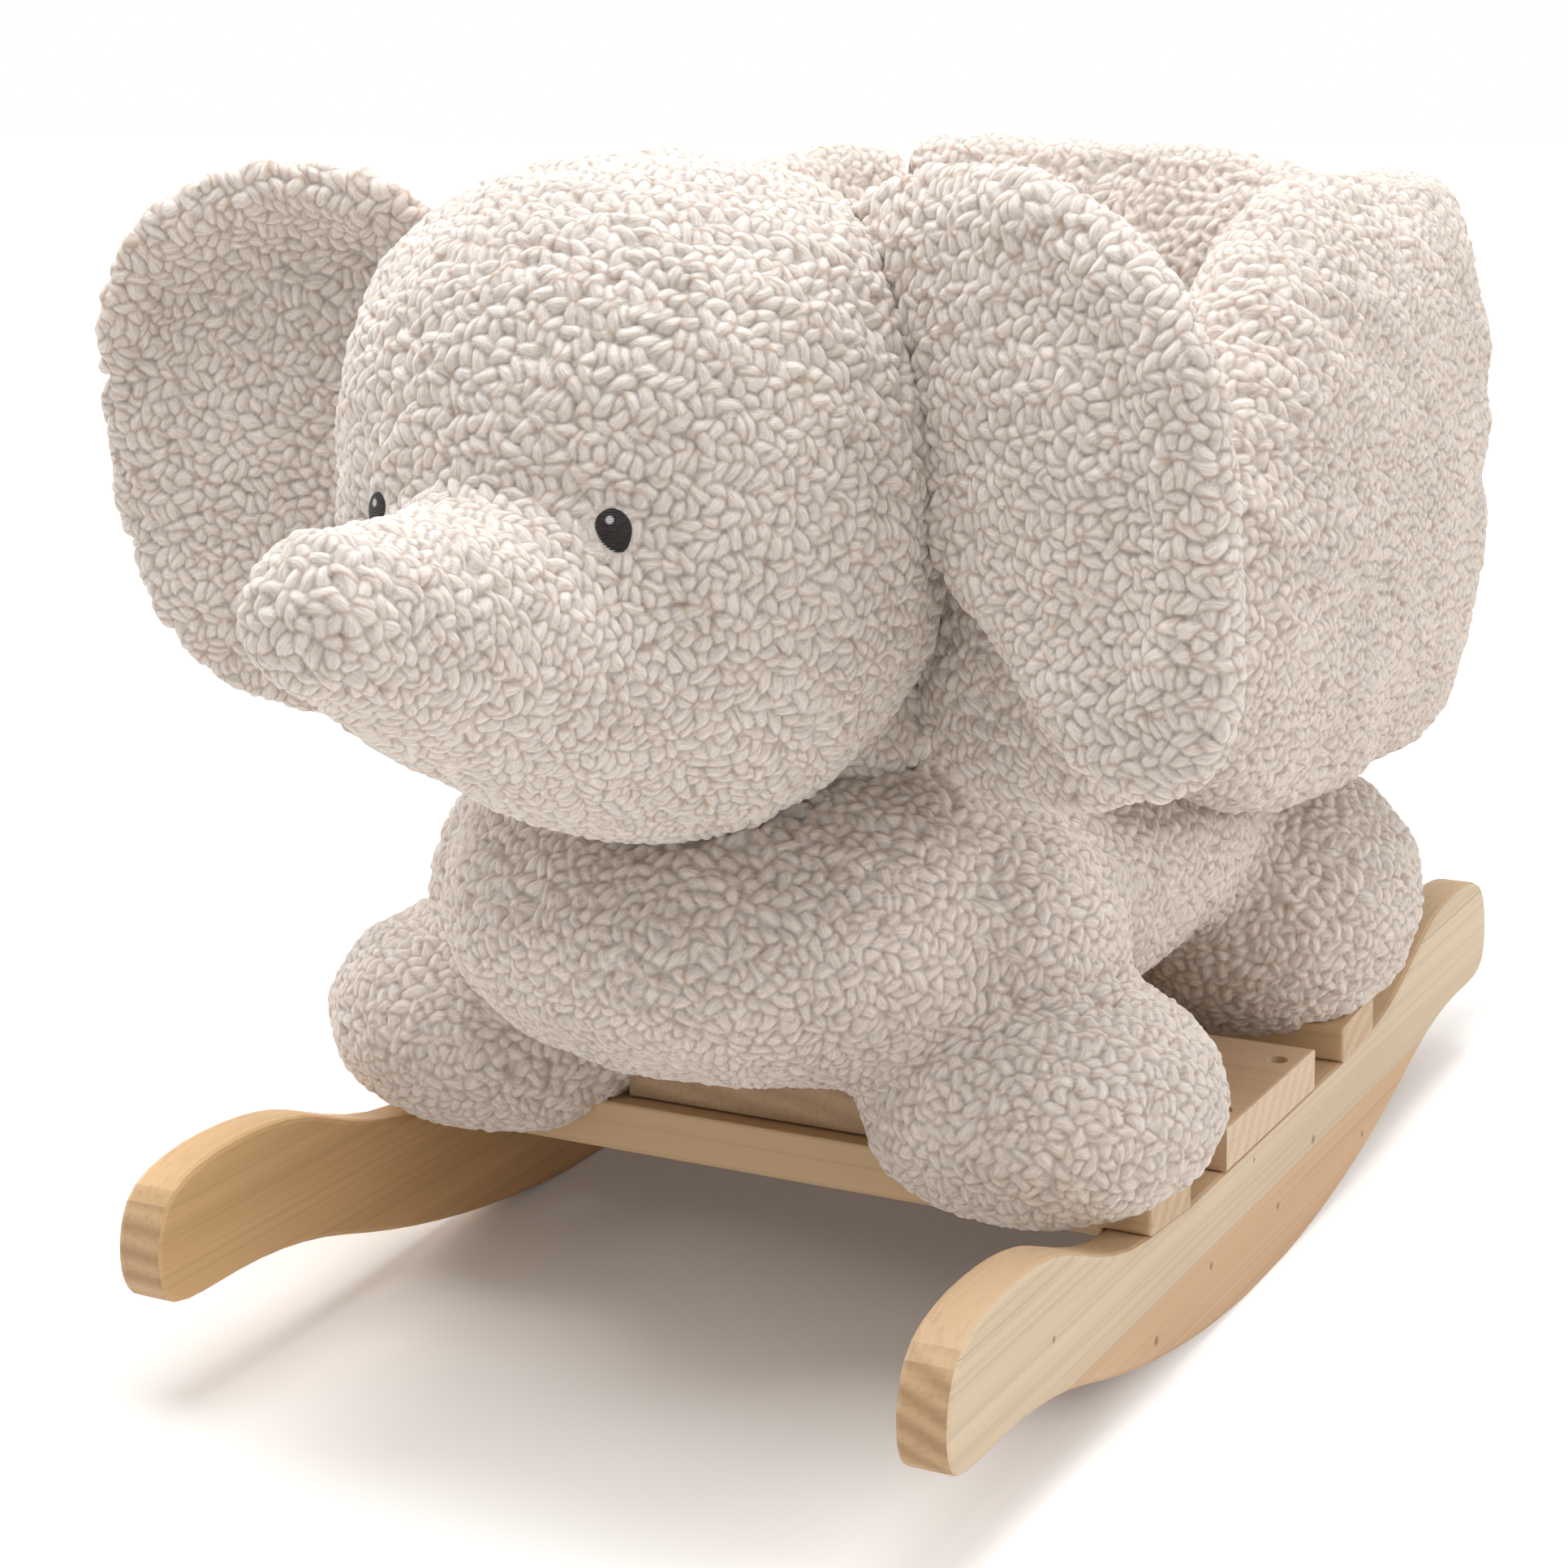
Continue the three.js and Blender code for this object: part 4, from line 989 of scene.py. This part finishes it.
def makeCushion():
    piece, ways = startBall("plushCushion", 96, 48)
    turn = np.arctan2(ways[:, 1], ways[:, 0])
    share = np.hypot(ways[:, 0], ways[:, 1])
    square = (np.abs(np.cos(turn)) ** cushion["squareness"] + np.abs(np.sin(turn)) ** cushion["squareness"])
    square = square ** (-1 / cushion["squareness"])
    across, along = np.cos(turn) * square * share, np.sin(turn) * square * share
    half = cushion["thickness"] / 2
    x = across * cushion["halfWidth"] - np.sign(across) * cushion["pull"] * share * (1 - along ** 2)
    y = along * cushion["halfLength"] - np.sign(along) * cushion["pull"] * share * (1 - across ** 2)
    crown = np.where(ways[:, 2] > 0, cushion["crown"] * (1 - across ** 2) * (1 - along ** 2), 0)
    z = cushion["bottom"] + half + signedPower(ways[:, 2], cushion["edge"]) * half + crown
    writePlaces(piece, np.stack([x, y + cushion["middle"], z], 1))
    weldSkin(piece, cushion["cover"])
    stuff(piece, cushion["cover"])
    places = readPlaces(piece)
    away = places[:, 1] - cushion["middle"]
    away = away - np.round(away / cushion["channelSpacing"]) * cushion["channelSpacing"]
    dip = cushion["channelDepth"] * np.exp(-(2 * away / cushion["channelWidth"]) ** 2)
    places[:, 2] -= dip * smoothStep(places[:, 2], cushion["bottom"] + half, cushion["bottom"] + 2 * half)
    writePlaces(piece, places)
    finishPlush(piece, cushion["cover"], settle=restOnBoard)


# Tail: hangs down from the rump and ends in a tuft
tail = {
    "path": [(222, 158), (250, 149), (251, 128), (250, 104)],
    "radius": 8,
    "tuft": 12,
    "tuftPlace": 0.82,
    "tuftLength": 0.16,
    "tipFullness": 12,
    "hang": (0.15, 0.55),
    "cover": {"fleece": "greige", "body": "rocking_body", "nodes": ("tail",), "voxel": 4.2, "rounds": 3,
              "fill": 0.9, "seed": 45},
}


def tailRing(along, turn):
    share = (1 - np.cos(along * math.pi)) / 2
    path = np.array(tail["path"], float)
    marks = np.linspace(0, 1, len(path))
    y, z = np.interp(share, marks, path[:, 0]), np.interp(share, marks, path[:, 1])
    tuft = np.exp(-((share - tail["tuftPlace"]) / tail["tuftLength"]) ** 2)
    radius = tail["radius"] + (tail["tuft"] - tail["radius"]) * tuft
    radius = radius * np.sqrt(np.maximum(0, 1 - share ** tail["tipFullness"]))
    radius = radius * smoothStep(along, -0.01, 0.05)
    hang = smoothStep(share, *tail["hang"])
    flatY, flatZ = np.sin(turn) * hang, np.sin(turn) * (1 - hang)
    return np.stack([np.cos(turn) * radius, y + flatY * radius, z + flatZ * radius], 1)


def makeTail():
    piece = joinForms("plushTail", [addSleeve("tail", tailRing, 24, 40)])
    weldSkin(piece, tail["cover"])
    finishPlush(piece, tail["cover"])


makeCushion()
makeTail()
print("cushion and tail made")


# The eyes' thread: dark, uneven along each stitch, and pale in the spot
def makeThreadFinish():
    finish, tree, shader = newFinish("satin stitches")
    stretched = addMapping(tree, (-700, 0), readObject(tree, (-900, 0)), scale=eye["threadScale"])
    thread = addNoise(tree, (-500, 0), stretched)
    dark = ramp(tree, (-300, 0), thread, [(0.3, (0.014, 0.010, 0.011)), (0.7, (0.050, 0.038, 0.039))])
    spot = addNode(tree, "ShaderNodeAttribute", (-500, -250), attribute_name="paleSpot")
    setInputs(tree, shader, {
        "Base Color": mixColours(tree, (-50, 0), spot.outputs["Fac"], dark, eye["spotColour"]),
        "Normal": addBump(tree, (-100, -250), thread, 0.4, 0.0001),
        "Roughness": 0.6,
        "Specular IOR Level": 0.25,
    })
    return finish


threadFinish = makeThreadFinish()


# Where an eye lies on the cover of the head, with the ways outwards, level and up from there
def eyeSeat(side):
    ball = head["ball"]
    ahead = math.sqrt(ball["radii"][0] ** 2 - eye["side"] ** 2)
    centre = np.array((side * eye["side"], ball["place"][1] - ahead, eye["height"]))
    outward = np.array((side * eye["side"], centre[1] - ball["place"][1], eye["lookUp"]))
    outward /= np.linalg.norm(outward)
    away = readPlaces(plushHead) - centre
    depth = away @ outward
    near = np.linalg.norm(away - depth[:, None] * outward, axis=1) < eye["patch"][0]
    near &= np.abs(depth) < eye["patch"][1]
    level = np.cross((0, 0, 1), outward)
    level /= np.linalg.norm(level)
    return centre + outward * (depth[near].mean() - eye["sink"]), outward, level, np.cross(outward, level)


def makeEye(name, side, node):
    deselectAll()
    columns, rows = eye["facets"]
    bpy.ops.mesh.primitive_grid_add(x_subdivisions=columns, y_subdivisions=rows, size=2)
    piece = bpy.context.object
    namePiece(piece, name)
    grid = readArray(piece.data.vertices, "co", 3)
    u = grid[:, 0] * np.sqrt(1 - grid[:, 1] ** 2 / 2)
    v = grid[:, 1] * np.sqrt(1 - grid[:, 0] ** 2 / 2)
    row = np.floor(v * eye["halfHeight"] / eye["stitchPitch"])
    ragged = 1 + eye["ragged"] * np.sin(row * 12.9) * smoothStep(np.abs(u), eye["raggedFrom"], 1)
    out = u * eye["halfWidth"] * ragged
    up = v * eye["halfHeight"]
    rim = np.clip(1 - u ** 2 - v ** 2, 0, 1)
    ridge = np.abs(np.sin(math.pi * up / eye["stitchPitch"]))
    ridges = eye["stitchRise"] * ridge * smoothStep(rim, 0, eye["rimShare"])
    rise = eye["dome"] * rim ** eye["roundness"] + ridges
    bow = (out ** 2 + up ** 2) / (2 * head["ball"]["radii"][0])
    centre, outward, level, raised = eyeSeat(side)
    across, along = out[:, None] * level, up[:, None] * raised
    writePlaces(piece, centre + across + along + (rise - bow)[:, None] * outward)
    spotX, spotY = eye["spotPlace"]
    away = np.hypot(out + spotX, up - spotY)
    inner, outer = eye["spotRadius"] - eye["spotEdge"], eye["spotRadius"] + eye["spotEdge"]
    writeValues(piece, "paleSpot", 1 - smoothStep(away, inner, outer))
    useModifier(piece, "SOLIDIFY", thickness=eye["thickness"] / 1000, offset=-1)
    smoothFaces(piece)
    piece.data.materials.append(threadFinish)
    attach(piece, "rocking_body")
    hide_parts(node)


makeEye("stitchedLeftEye", 1, "eye_left")
makeEye("stitchedRightEye", -1, "eye_right")
print("eyes made")


# Wood: fine lines, broad streaks and pores along the grain, and rings where the grain ends
def makeGrainGroup():
    group, start, end = newGroup(
        "wood grain",
        {"Place": "Vector", "Light": "Color", "Dark": "Color", "End": "Color", "Ending": "Float",
         "Rings": "Float"},
        {"Colour": "Color", "Roughness": "Float", "Height": "Float"})
    noises = []
    for row, (scale, detail, distortion) in enumerate((
            ((75, 1.6, 75), 5, 0.25), ((16, 0.8, 16), 3, 0.4), ((520, 2.6, 520), 2, 0))):
        stretched = addMapping(group, (-700, 300 - 300 * row), start["Place"], scale=scale)
        noises.append(addNoise(group, (-500, 300 - 300 * row), stretched, 1, detail, distortion))
    heart = addMapping(group, (-700, -600), start["Place"], location=(-0.12, 0, 0.03))
    rings = addNode(group, "ShaderNodeTexWave", (-500, -600), {
        "Vector": heart, "Scale": 34, "Distortion": 1.6, "Detail": 2, "Detail Scale": 0.6,
    }, wave_type="RINGS", rings_direction="Y")
    lines = ramp(group, (-300, 300), noises[0], [(0.40, 0), (0.56, 1)])
    streaks = ramp(group, (-300, 0), noises[1], [(0.42, 0), (0.68, 1)])
    pores = ramp(group, (-300, -300), noises[2], [(0.34, 0.84), (0.50, 1)])
    half = addMath(group, (-100, 200), "MULTIPLY_ADD", lines, 0.35, streaks)
    most = addMath(group, (50, 200), "MULTIPLY", half, 0.75, use_clamp=True)
    faceWood = mixColours(group, (200, 300), most, start["Light"], start["Dark"])
    darkEnd = mixColours(group, (0, -150), 1.0, start["End"], (0.66, 0.58, 0.5), "MULTIPLY")
    ringShare = addMath(group, (0, -350), "MULTIPLY", rings.outputs["Fac"], start["Rings"])
    endLines = mixColours(group, (200, 0), ringShare, start["End"], darkEnd)
    wood = mixColours(group, (400, 200), start["Ending"], faceWood, endLines)
    setInputs(group, end, {
        "Colour": mixColours(group, (600, 200), 0.7, wood, pores, "MULTIPLY"),
        "Roughness": addRange(group, (400, -150), noises[0], 0, 1, 0.5, 0.68),
        "Height": noises[2],
    })
    return group


grainGroup = makeGrainGroup()


# How far a face is turned towards the given axis
def addEnding(tree, axis):
    shape = addNode(tree, "ShaderNodeNewGeometry", (-1300, -300))
    parts = addNode(tree, "ShaderNodeSeparateXYZ", (-1100, -300), {0: shape.outputs["Normal"]})
    size = addMath(tree, (-900, -300), "ABSOLUTE", parts.outputs[axis])
    return addRange(tree, (-700, -300), size, 0.35, 0.95, kind="SMOOTHSTEP")


def makeWood(name, wood):
    finish, tree, shader = newFinish(name)
    turn = (0, 0, math.radians(90) if wood["grain"] == "X" else 0)
    place = readObject(tree, (-1300, 0))
    grain = addNode(tree, "ShaderNodeGroup", (-450, 0), {
        "Place": addMapping(tree, (-1000, 0), place, rotation=turn, location=wood["shift"]),
        "Ending": addEnding(tree, wood["grain"]),
        "Light": wood["light"],
        "Dark": wood["dark"],
        "End": wood["end"],
        "Rings": wood["rings"],
    }, node_tree=grainGroup)
    setInputs(tree, shader, {
        "Base Color": grain.outputs["Colour"],
        "Roughness": grain.outputs["Roughness"],
        "Normal": addBump(tree, (-200, -300), grain.outputs["Height"], 0.15, 0.0003),
        "Coat Weight": 0.12,
        "Coat Roughness": 0.4,
    })
    return finish, tree, shader, grain


# Rockers are glued up from strips, at heights in metres as is their outer face; knots are given by
# place on that face and radius, in millimetres
rocker = {
    "grain": "Y",
    "rings": 0.75,
    "shift": (0, 0, 0),
    "light": (0.70, 0.565, 0.40),
    "dark": (0.57, 0.43, 0.275),
    "end": (0.56, 0.37, 0.20),
    "lowerLight": (0.71, 0.485, 0.295),
    "lowerDark": (0.59, 0.38, 0.215),
    "upperLight": (0.66, 0.52, 0.36),
    "edgeLight": (0.63, 0.44, 0.26),
    "edgeDark": (0.53, 0.345, 0.185),
    "glue": (0.0361, 0.083),
    "glueWidth": 0.00022,
    "glueColour": (0.48, 0.33, 0.2),
    "outerFace": 0.167,
    "knots": [(-216, 60, 1.2), (-122, 21, 1.8), (-66, 29, 1.5), (9, 26, 1.4), (51, 40, 1.8), (116, 20, 1.4),
              (-20, 56, 1)],
    "knotColour": (0.20, 0.11, 0.05),
}


def makeRockerWood():
    finish, tree, shader, grain = makeWood("rocker wood", rocker)
    place = readObject(tree, (-1500, 600))
    height = addNode(tree, "ShaderNodeSeparateXYZ", (-1300, 600), {0: place}).outputs["Z"]
    lower, upper = (addRange(tree, (-900, 500 - 200 * row), height, level - 0.0001, level + 0.0001)
                    for row, level in enumerate(rocker["glue"]))
    broad = addEnding(tree, "X")
    light = mixColours(tree, (-700, 600), lower, rocker["lowerLight"], rocker["light"])
    light = mixColours(tree, (-550, 600), upper, light, rocker["upperLight"])
    dark = mixColours(tree, (-700, 400), lower, rocker["lowerDark"], rocker["dark"])
    setInputs(tree, grain, {
        "Light": mixColours(tree, (-400, 600), broad, rocker["edgeLight"], light),
        "Dark": mixColours(tree, (-400, 400), broad, rocker["edgeDark"], dark),
    })
    colour = grain.outputs["Colour"]
    for row, level in enumerate(rocker["glue"]):
        near = addMath(tree, (-300, 700 - 150 * row), "COMPARE", height, level, rocker["glueWidth"])
        seam = addMath(tree, (-220, 700 - 150 * row), "MULTIPLY", near, broad)
        colour = mixColours(tree, (-150, 700 - 150 * row), seam, colour, rocker["glueColour"])
    for row, (y, z, size) in enumerate(rocker["knots"]):
        ends = {0: place, 1: (rocker["outerFace"], y / 1000 + middleY, z / 1000)}
        away = addNode(tree, "ShaderNodeVectorMath", (0, 700 - 150 * row), ends, operation="DISTANCE")
        inner, outer = size / 1000 * 0.4, size / 1000 * 1.6
        distance = away.outputs["Value"]
        spot = addRange(tree, (150, 700 - 150 * row), distance, inner, outer, 0.75, 0, "SMOOTHSTEP")
        colour = mixColours(tree, (300, 700 - 150 * row), spot, colour, rocker["knotColour"])
    setInputs(tree, shader, {"Base Color": colour})
    return finish


# Boards: the way the grain runs, how clear its end rings are, a shift that gives each its own figure
boards = {
    "far rocker": {"grain": "Y", "rings": 0.75, "shift": (0.31, 0.2, 0.4),
                   "light": (0.74, 0.475, 0.24), "dark": (0.59, 0.36, 0.16), "end": (0.56, 0.37, 0.20)},
    "rail": {"grain": "X", "rings": 0.4, "shift": (0.4, 0.1, 0.2),
             "light": (0.64, 0.445, 0.26), "dark": (0.54, 0.355, 0.19), "end": (0.64, 0.47, 0.30)},
    "board": {"grain": "X", "rings": 0.25, "shift": (0.9, 0.7, 0.5),
              "light": (0.62, 0.43, 0.27), "dark": (0.54, 0.355, 0.21), "end": (0.72, 0.56, 0.40)},
    "spine": {"grain": "Y", "rings": 0.4, "shift": (0.3, 0.2, 0.9),
              "light": (0.56, 0.37, 0.21), "dark": (0.49, 0.31, 0.17), "end": (0.5, 0.34, 0.2)},
    "dowel": {"grain": "X", "rings": 0.4, "shift": (0.2, 0.9, 0.1),
              "light": (0.66, 0.50, 0.33), "dark": (0.57, 0.41, 0.25), "end": (0.6, 0.44, 0.28)},
    "plywood": {"grain": "Y", "rings": 0.3, "shift": (0.1, 0.5, 0.3),
                "light": (0.60, 0.45, 0.29), "dark": (0.50, 0.36, 0.22), "end": (0.45, 0.31, 0.18)},
}


def makeZinc():
    finish, tree, shader = newFinish("yellow zinc")
    stain = addNoise(tree, (-700, 0), readObject(tree, (-900, 0)), scale=420, detail=3)
    setInputs(tree, shader, {
        "Base Color": ramp(tree, (-450, 0), stain, [(0.35, (0.50, 0.36, 0.14)), (0.65, (0.74, 0.60, 0.30))]),
        "Roughness": addRange(tree, (-450, -250), stain, 0, 1, 0.28, 0.45),
        "Metallic": 1,
    })
    return finish


# The finish of each board, by the start of its node's name
boardUses = {
    "rocker_left": "rocker",
    "rocker_right": "far rocker",
    "front_rail": "rail",
    "rear_rail": "rail",
    "front_riser": "rail",
    "rear_riser": "rail",
    "centre_board": "board",
    "spine_board": "spine",
    "neck_post": "spine",
    "seat_board": "plywood",
    "side_board": "plywood",
    "back_board": "plywood",
    "handle_bar": "dowel",
}


def paintNodes():
    finishes = {name: makeWood(name + " wood", wood)[0] for name, wood in boards.items()}
    finishes["rocker"] = makeRockerWood()
    finishes["zinc"] = makeZinc()
    for name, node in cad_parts.items():
        uses = [use for key, use in boardUses.items() if name.startswith(key)]
        if "screw" in name:
            uses = ["zinc"]
        if uses:
            node.data.materials.clear()
            node.data.materials.append(finishes[uses[0]])


paintNodes()
print("wood and screws finished")

# Camera at the photograph's place; the focal length is in the photograph's pixels
view = {
    "place": (559.8, -1122.0, 507.8),
    "right": (0.880951, 0.472789, -0.019904),
    "up": (-0.100435, 0.227913, 0.968488),
    "back": (0.462427, -0.851191, 0.248264),
    "sensor": 36,
    "focal": 3879.14,
    "width": 1932,
}


def makeCamera():
    deselectAll()
    bpy.ops.object.camera_add()
    camera = bpy.context.object
    x, y, z = view["place"]
    turn = Matrix((view["right"], view["up"], view["back"])).transposed().to_4x4()
    camera.matrix_world = Matrix.Translation((x / 1000, y / 1000 + middleY, z / 1000)) @ turn
    camera.data.sensor_width = view["sensor"]
    camera.data.lens = view["sensor"] * view["focal"] / view["width"]
    camera.data.clip_end = 50
    bpy.context.scene.camera = camera


# Pale floor, which the camera sees as white apart from the shadow, and soft lamps; all in metres
studio = {
    "floorSize": 16,
    "floorColour": (0.86, 0.83, 0.805),
    "glowNear": 0.04,
    "glowFar": 1.0,
    # from the middle of the rockers: where the floor starts to brighten and where it is white
    "glow": {"right": (0.14, 0.2), "left": (0.28, 0.6), "front": (0.27, 0.52), "rear": (0.33, 0.55)},
    "worldColour": (1, 0.985, 0.965),
    "worldStrength": 0.54,
    "aimHeight": 0.2,
    "lamps": {
        "top": {"place": (-0.1, -0.2, 2.1), "size": 1.7, "power": 39, "colour": (0.96, 0.98, 1)},
        "left": {"place": (-2.1, 0.1, 1.2), "size": 1.5, "power": 16, "colour": (1, 0.99, 0.98)},
        "right": {"place": (2.3, 0.5, 1.1), "size": 1.5, "power": 15, "colour": (1, 0.99, 0.98)},
    },
}


# How white the floor glows: the most that any of the four ways from the rockers gives
def addGlow(tree):
    parts = addNode(tree, "ShaderNodeSeparateXYZ", (-1150, -300), {0: readObject(tree, (-1300, -300))})
    ways = {"right": ("X", 1), "left": ("X", -1), "front": ("Y", -1), "rear": ("Y", 1)}
    bright = 0.0
    for row, (name, (axis, sign)) in enumerate(ways.items()):
        shift = middleY if axis == "Y" else 0
        low, high = (sign * value + shift for value in studio["glow"][name])
        level = addRange(tree, (-1000, -300 - 300 * row), parts.outputs[axis], low, high,
                         studio["glowNear"], studio["glowFar"], "SMOOTHSTEP")
        bright = addMath(tree, (-800, -300 - 300 * row), "MAXIMUM", bright, level)
    return bright


def makeFloor():
    deselectAll()
    bpy.ops.mesh.primitive_plane_add(size=studio["floorSize"])
    floor = bpy.context.object
    floor.name = "floor"
    finish, tree, shader = newFinish("floor")
    tree.nodes.remove(shader)
    speck = addNode(tree, "ShaderNodeTexNoise", (-700, 0), {"Scale": 3})
    paler = tuple(value * 1.01 for value in studio["floorColour"])
    colour = mixColours(tree, (-500, 0), speck.outputs["Fac"], studio["floorColour"], paler)
    matte = addNode(tree, "ShaderNodeBsdfDiffuse", (-300, 0), {"Color": colour})
    path = addNode(tree, "ShaderNodeLightPath", (-700, -600))
    seen = addMath(tree, (-500, -400), "MULTIPLY", path.outputs["Is Camera Ray"], addGlow(tree))
    glow = addNode(tree, "ShaderNodeEmission", (-300, -200), {"Strength": seen})
    both = addNode(tree, "ShaderNodeAddShader", (-50, 0), {0: matte.outputs[0], 1: glow.outputs[0]})
    setInputs(tree, tree.nodes["Material Output"], {"Surface": both.outputs[0]})
    floor.data.materials.append(finish)


# White to the camera, and dimmer in the light that it gives
def makeWorld():
    world = bpy.data.worlds.new("studio")
    bpy.context.scene.world = world
    world.use_nodes = True
    tree = world.node_tree
    path = addNode(tree, "ShaderNodeLightPath", (-900, 0)).outputs
    clear = addMath(tree, (-700, -200), "MAXIMUM", path["Is Glossy Ray"], path["Is Transmission Ray"])
    seen = addMath(tree, (-700, 0), "MAXIMUM", path["Is Camera Ray"], clear)
    dim = tuple(value * studio["worldStrength"] for value in studio["worldColour"])
    colour = mixColours(tree, (-400, 0), seen, dim, (1, 1, 1))
    setInputs(tree, tree.nodes["Background"], {"Color": colour, "Strength": 1})


def makeLamps():
    for name, lamp in studio["lamps"].items():
        deselectAll()
        x, y, z = lamp["place"]
        bpy.ops.object.light_add(type="AREA", location=(x, y + middleY, z))
        light = bpy.context.object
        light.name = name
        light.data.shape = "DISK"
        light.data.size = lamp["size"]
        light.data.energy = lamp["power"]
        light.data.color = lamp["colour"]
        aim = Vector((0, middleY, studio["aimHeight"])) - light.location
        light.rotation_euler = aim.to_track_quat("-Z", "Y").to_euler()


makeCamera()
makeFloor()
makeWorld()
makeLamps()
bpy.context.scene.view_settings.view_transform = "Standard"
print("camera, floor and lamps made")
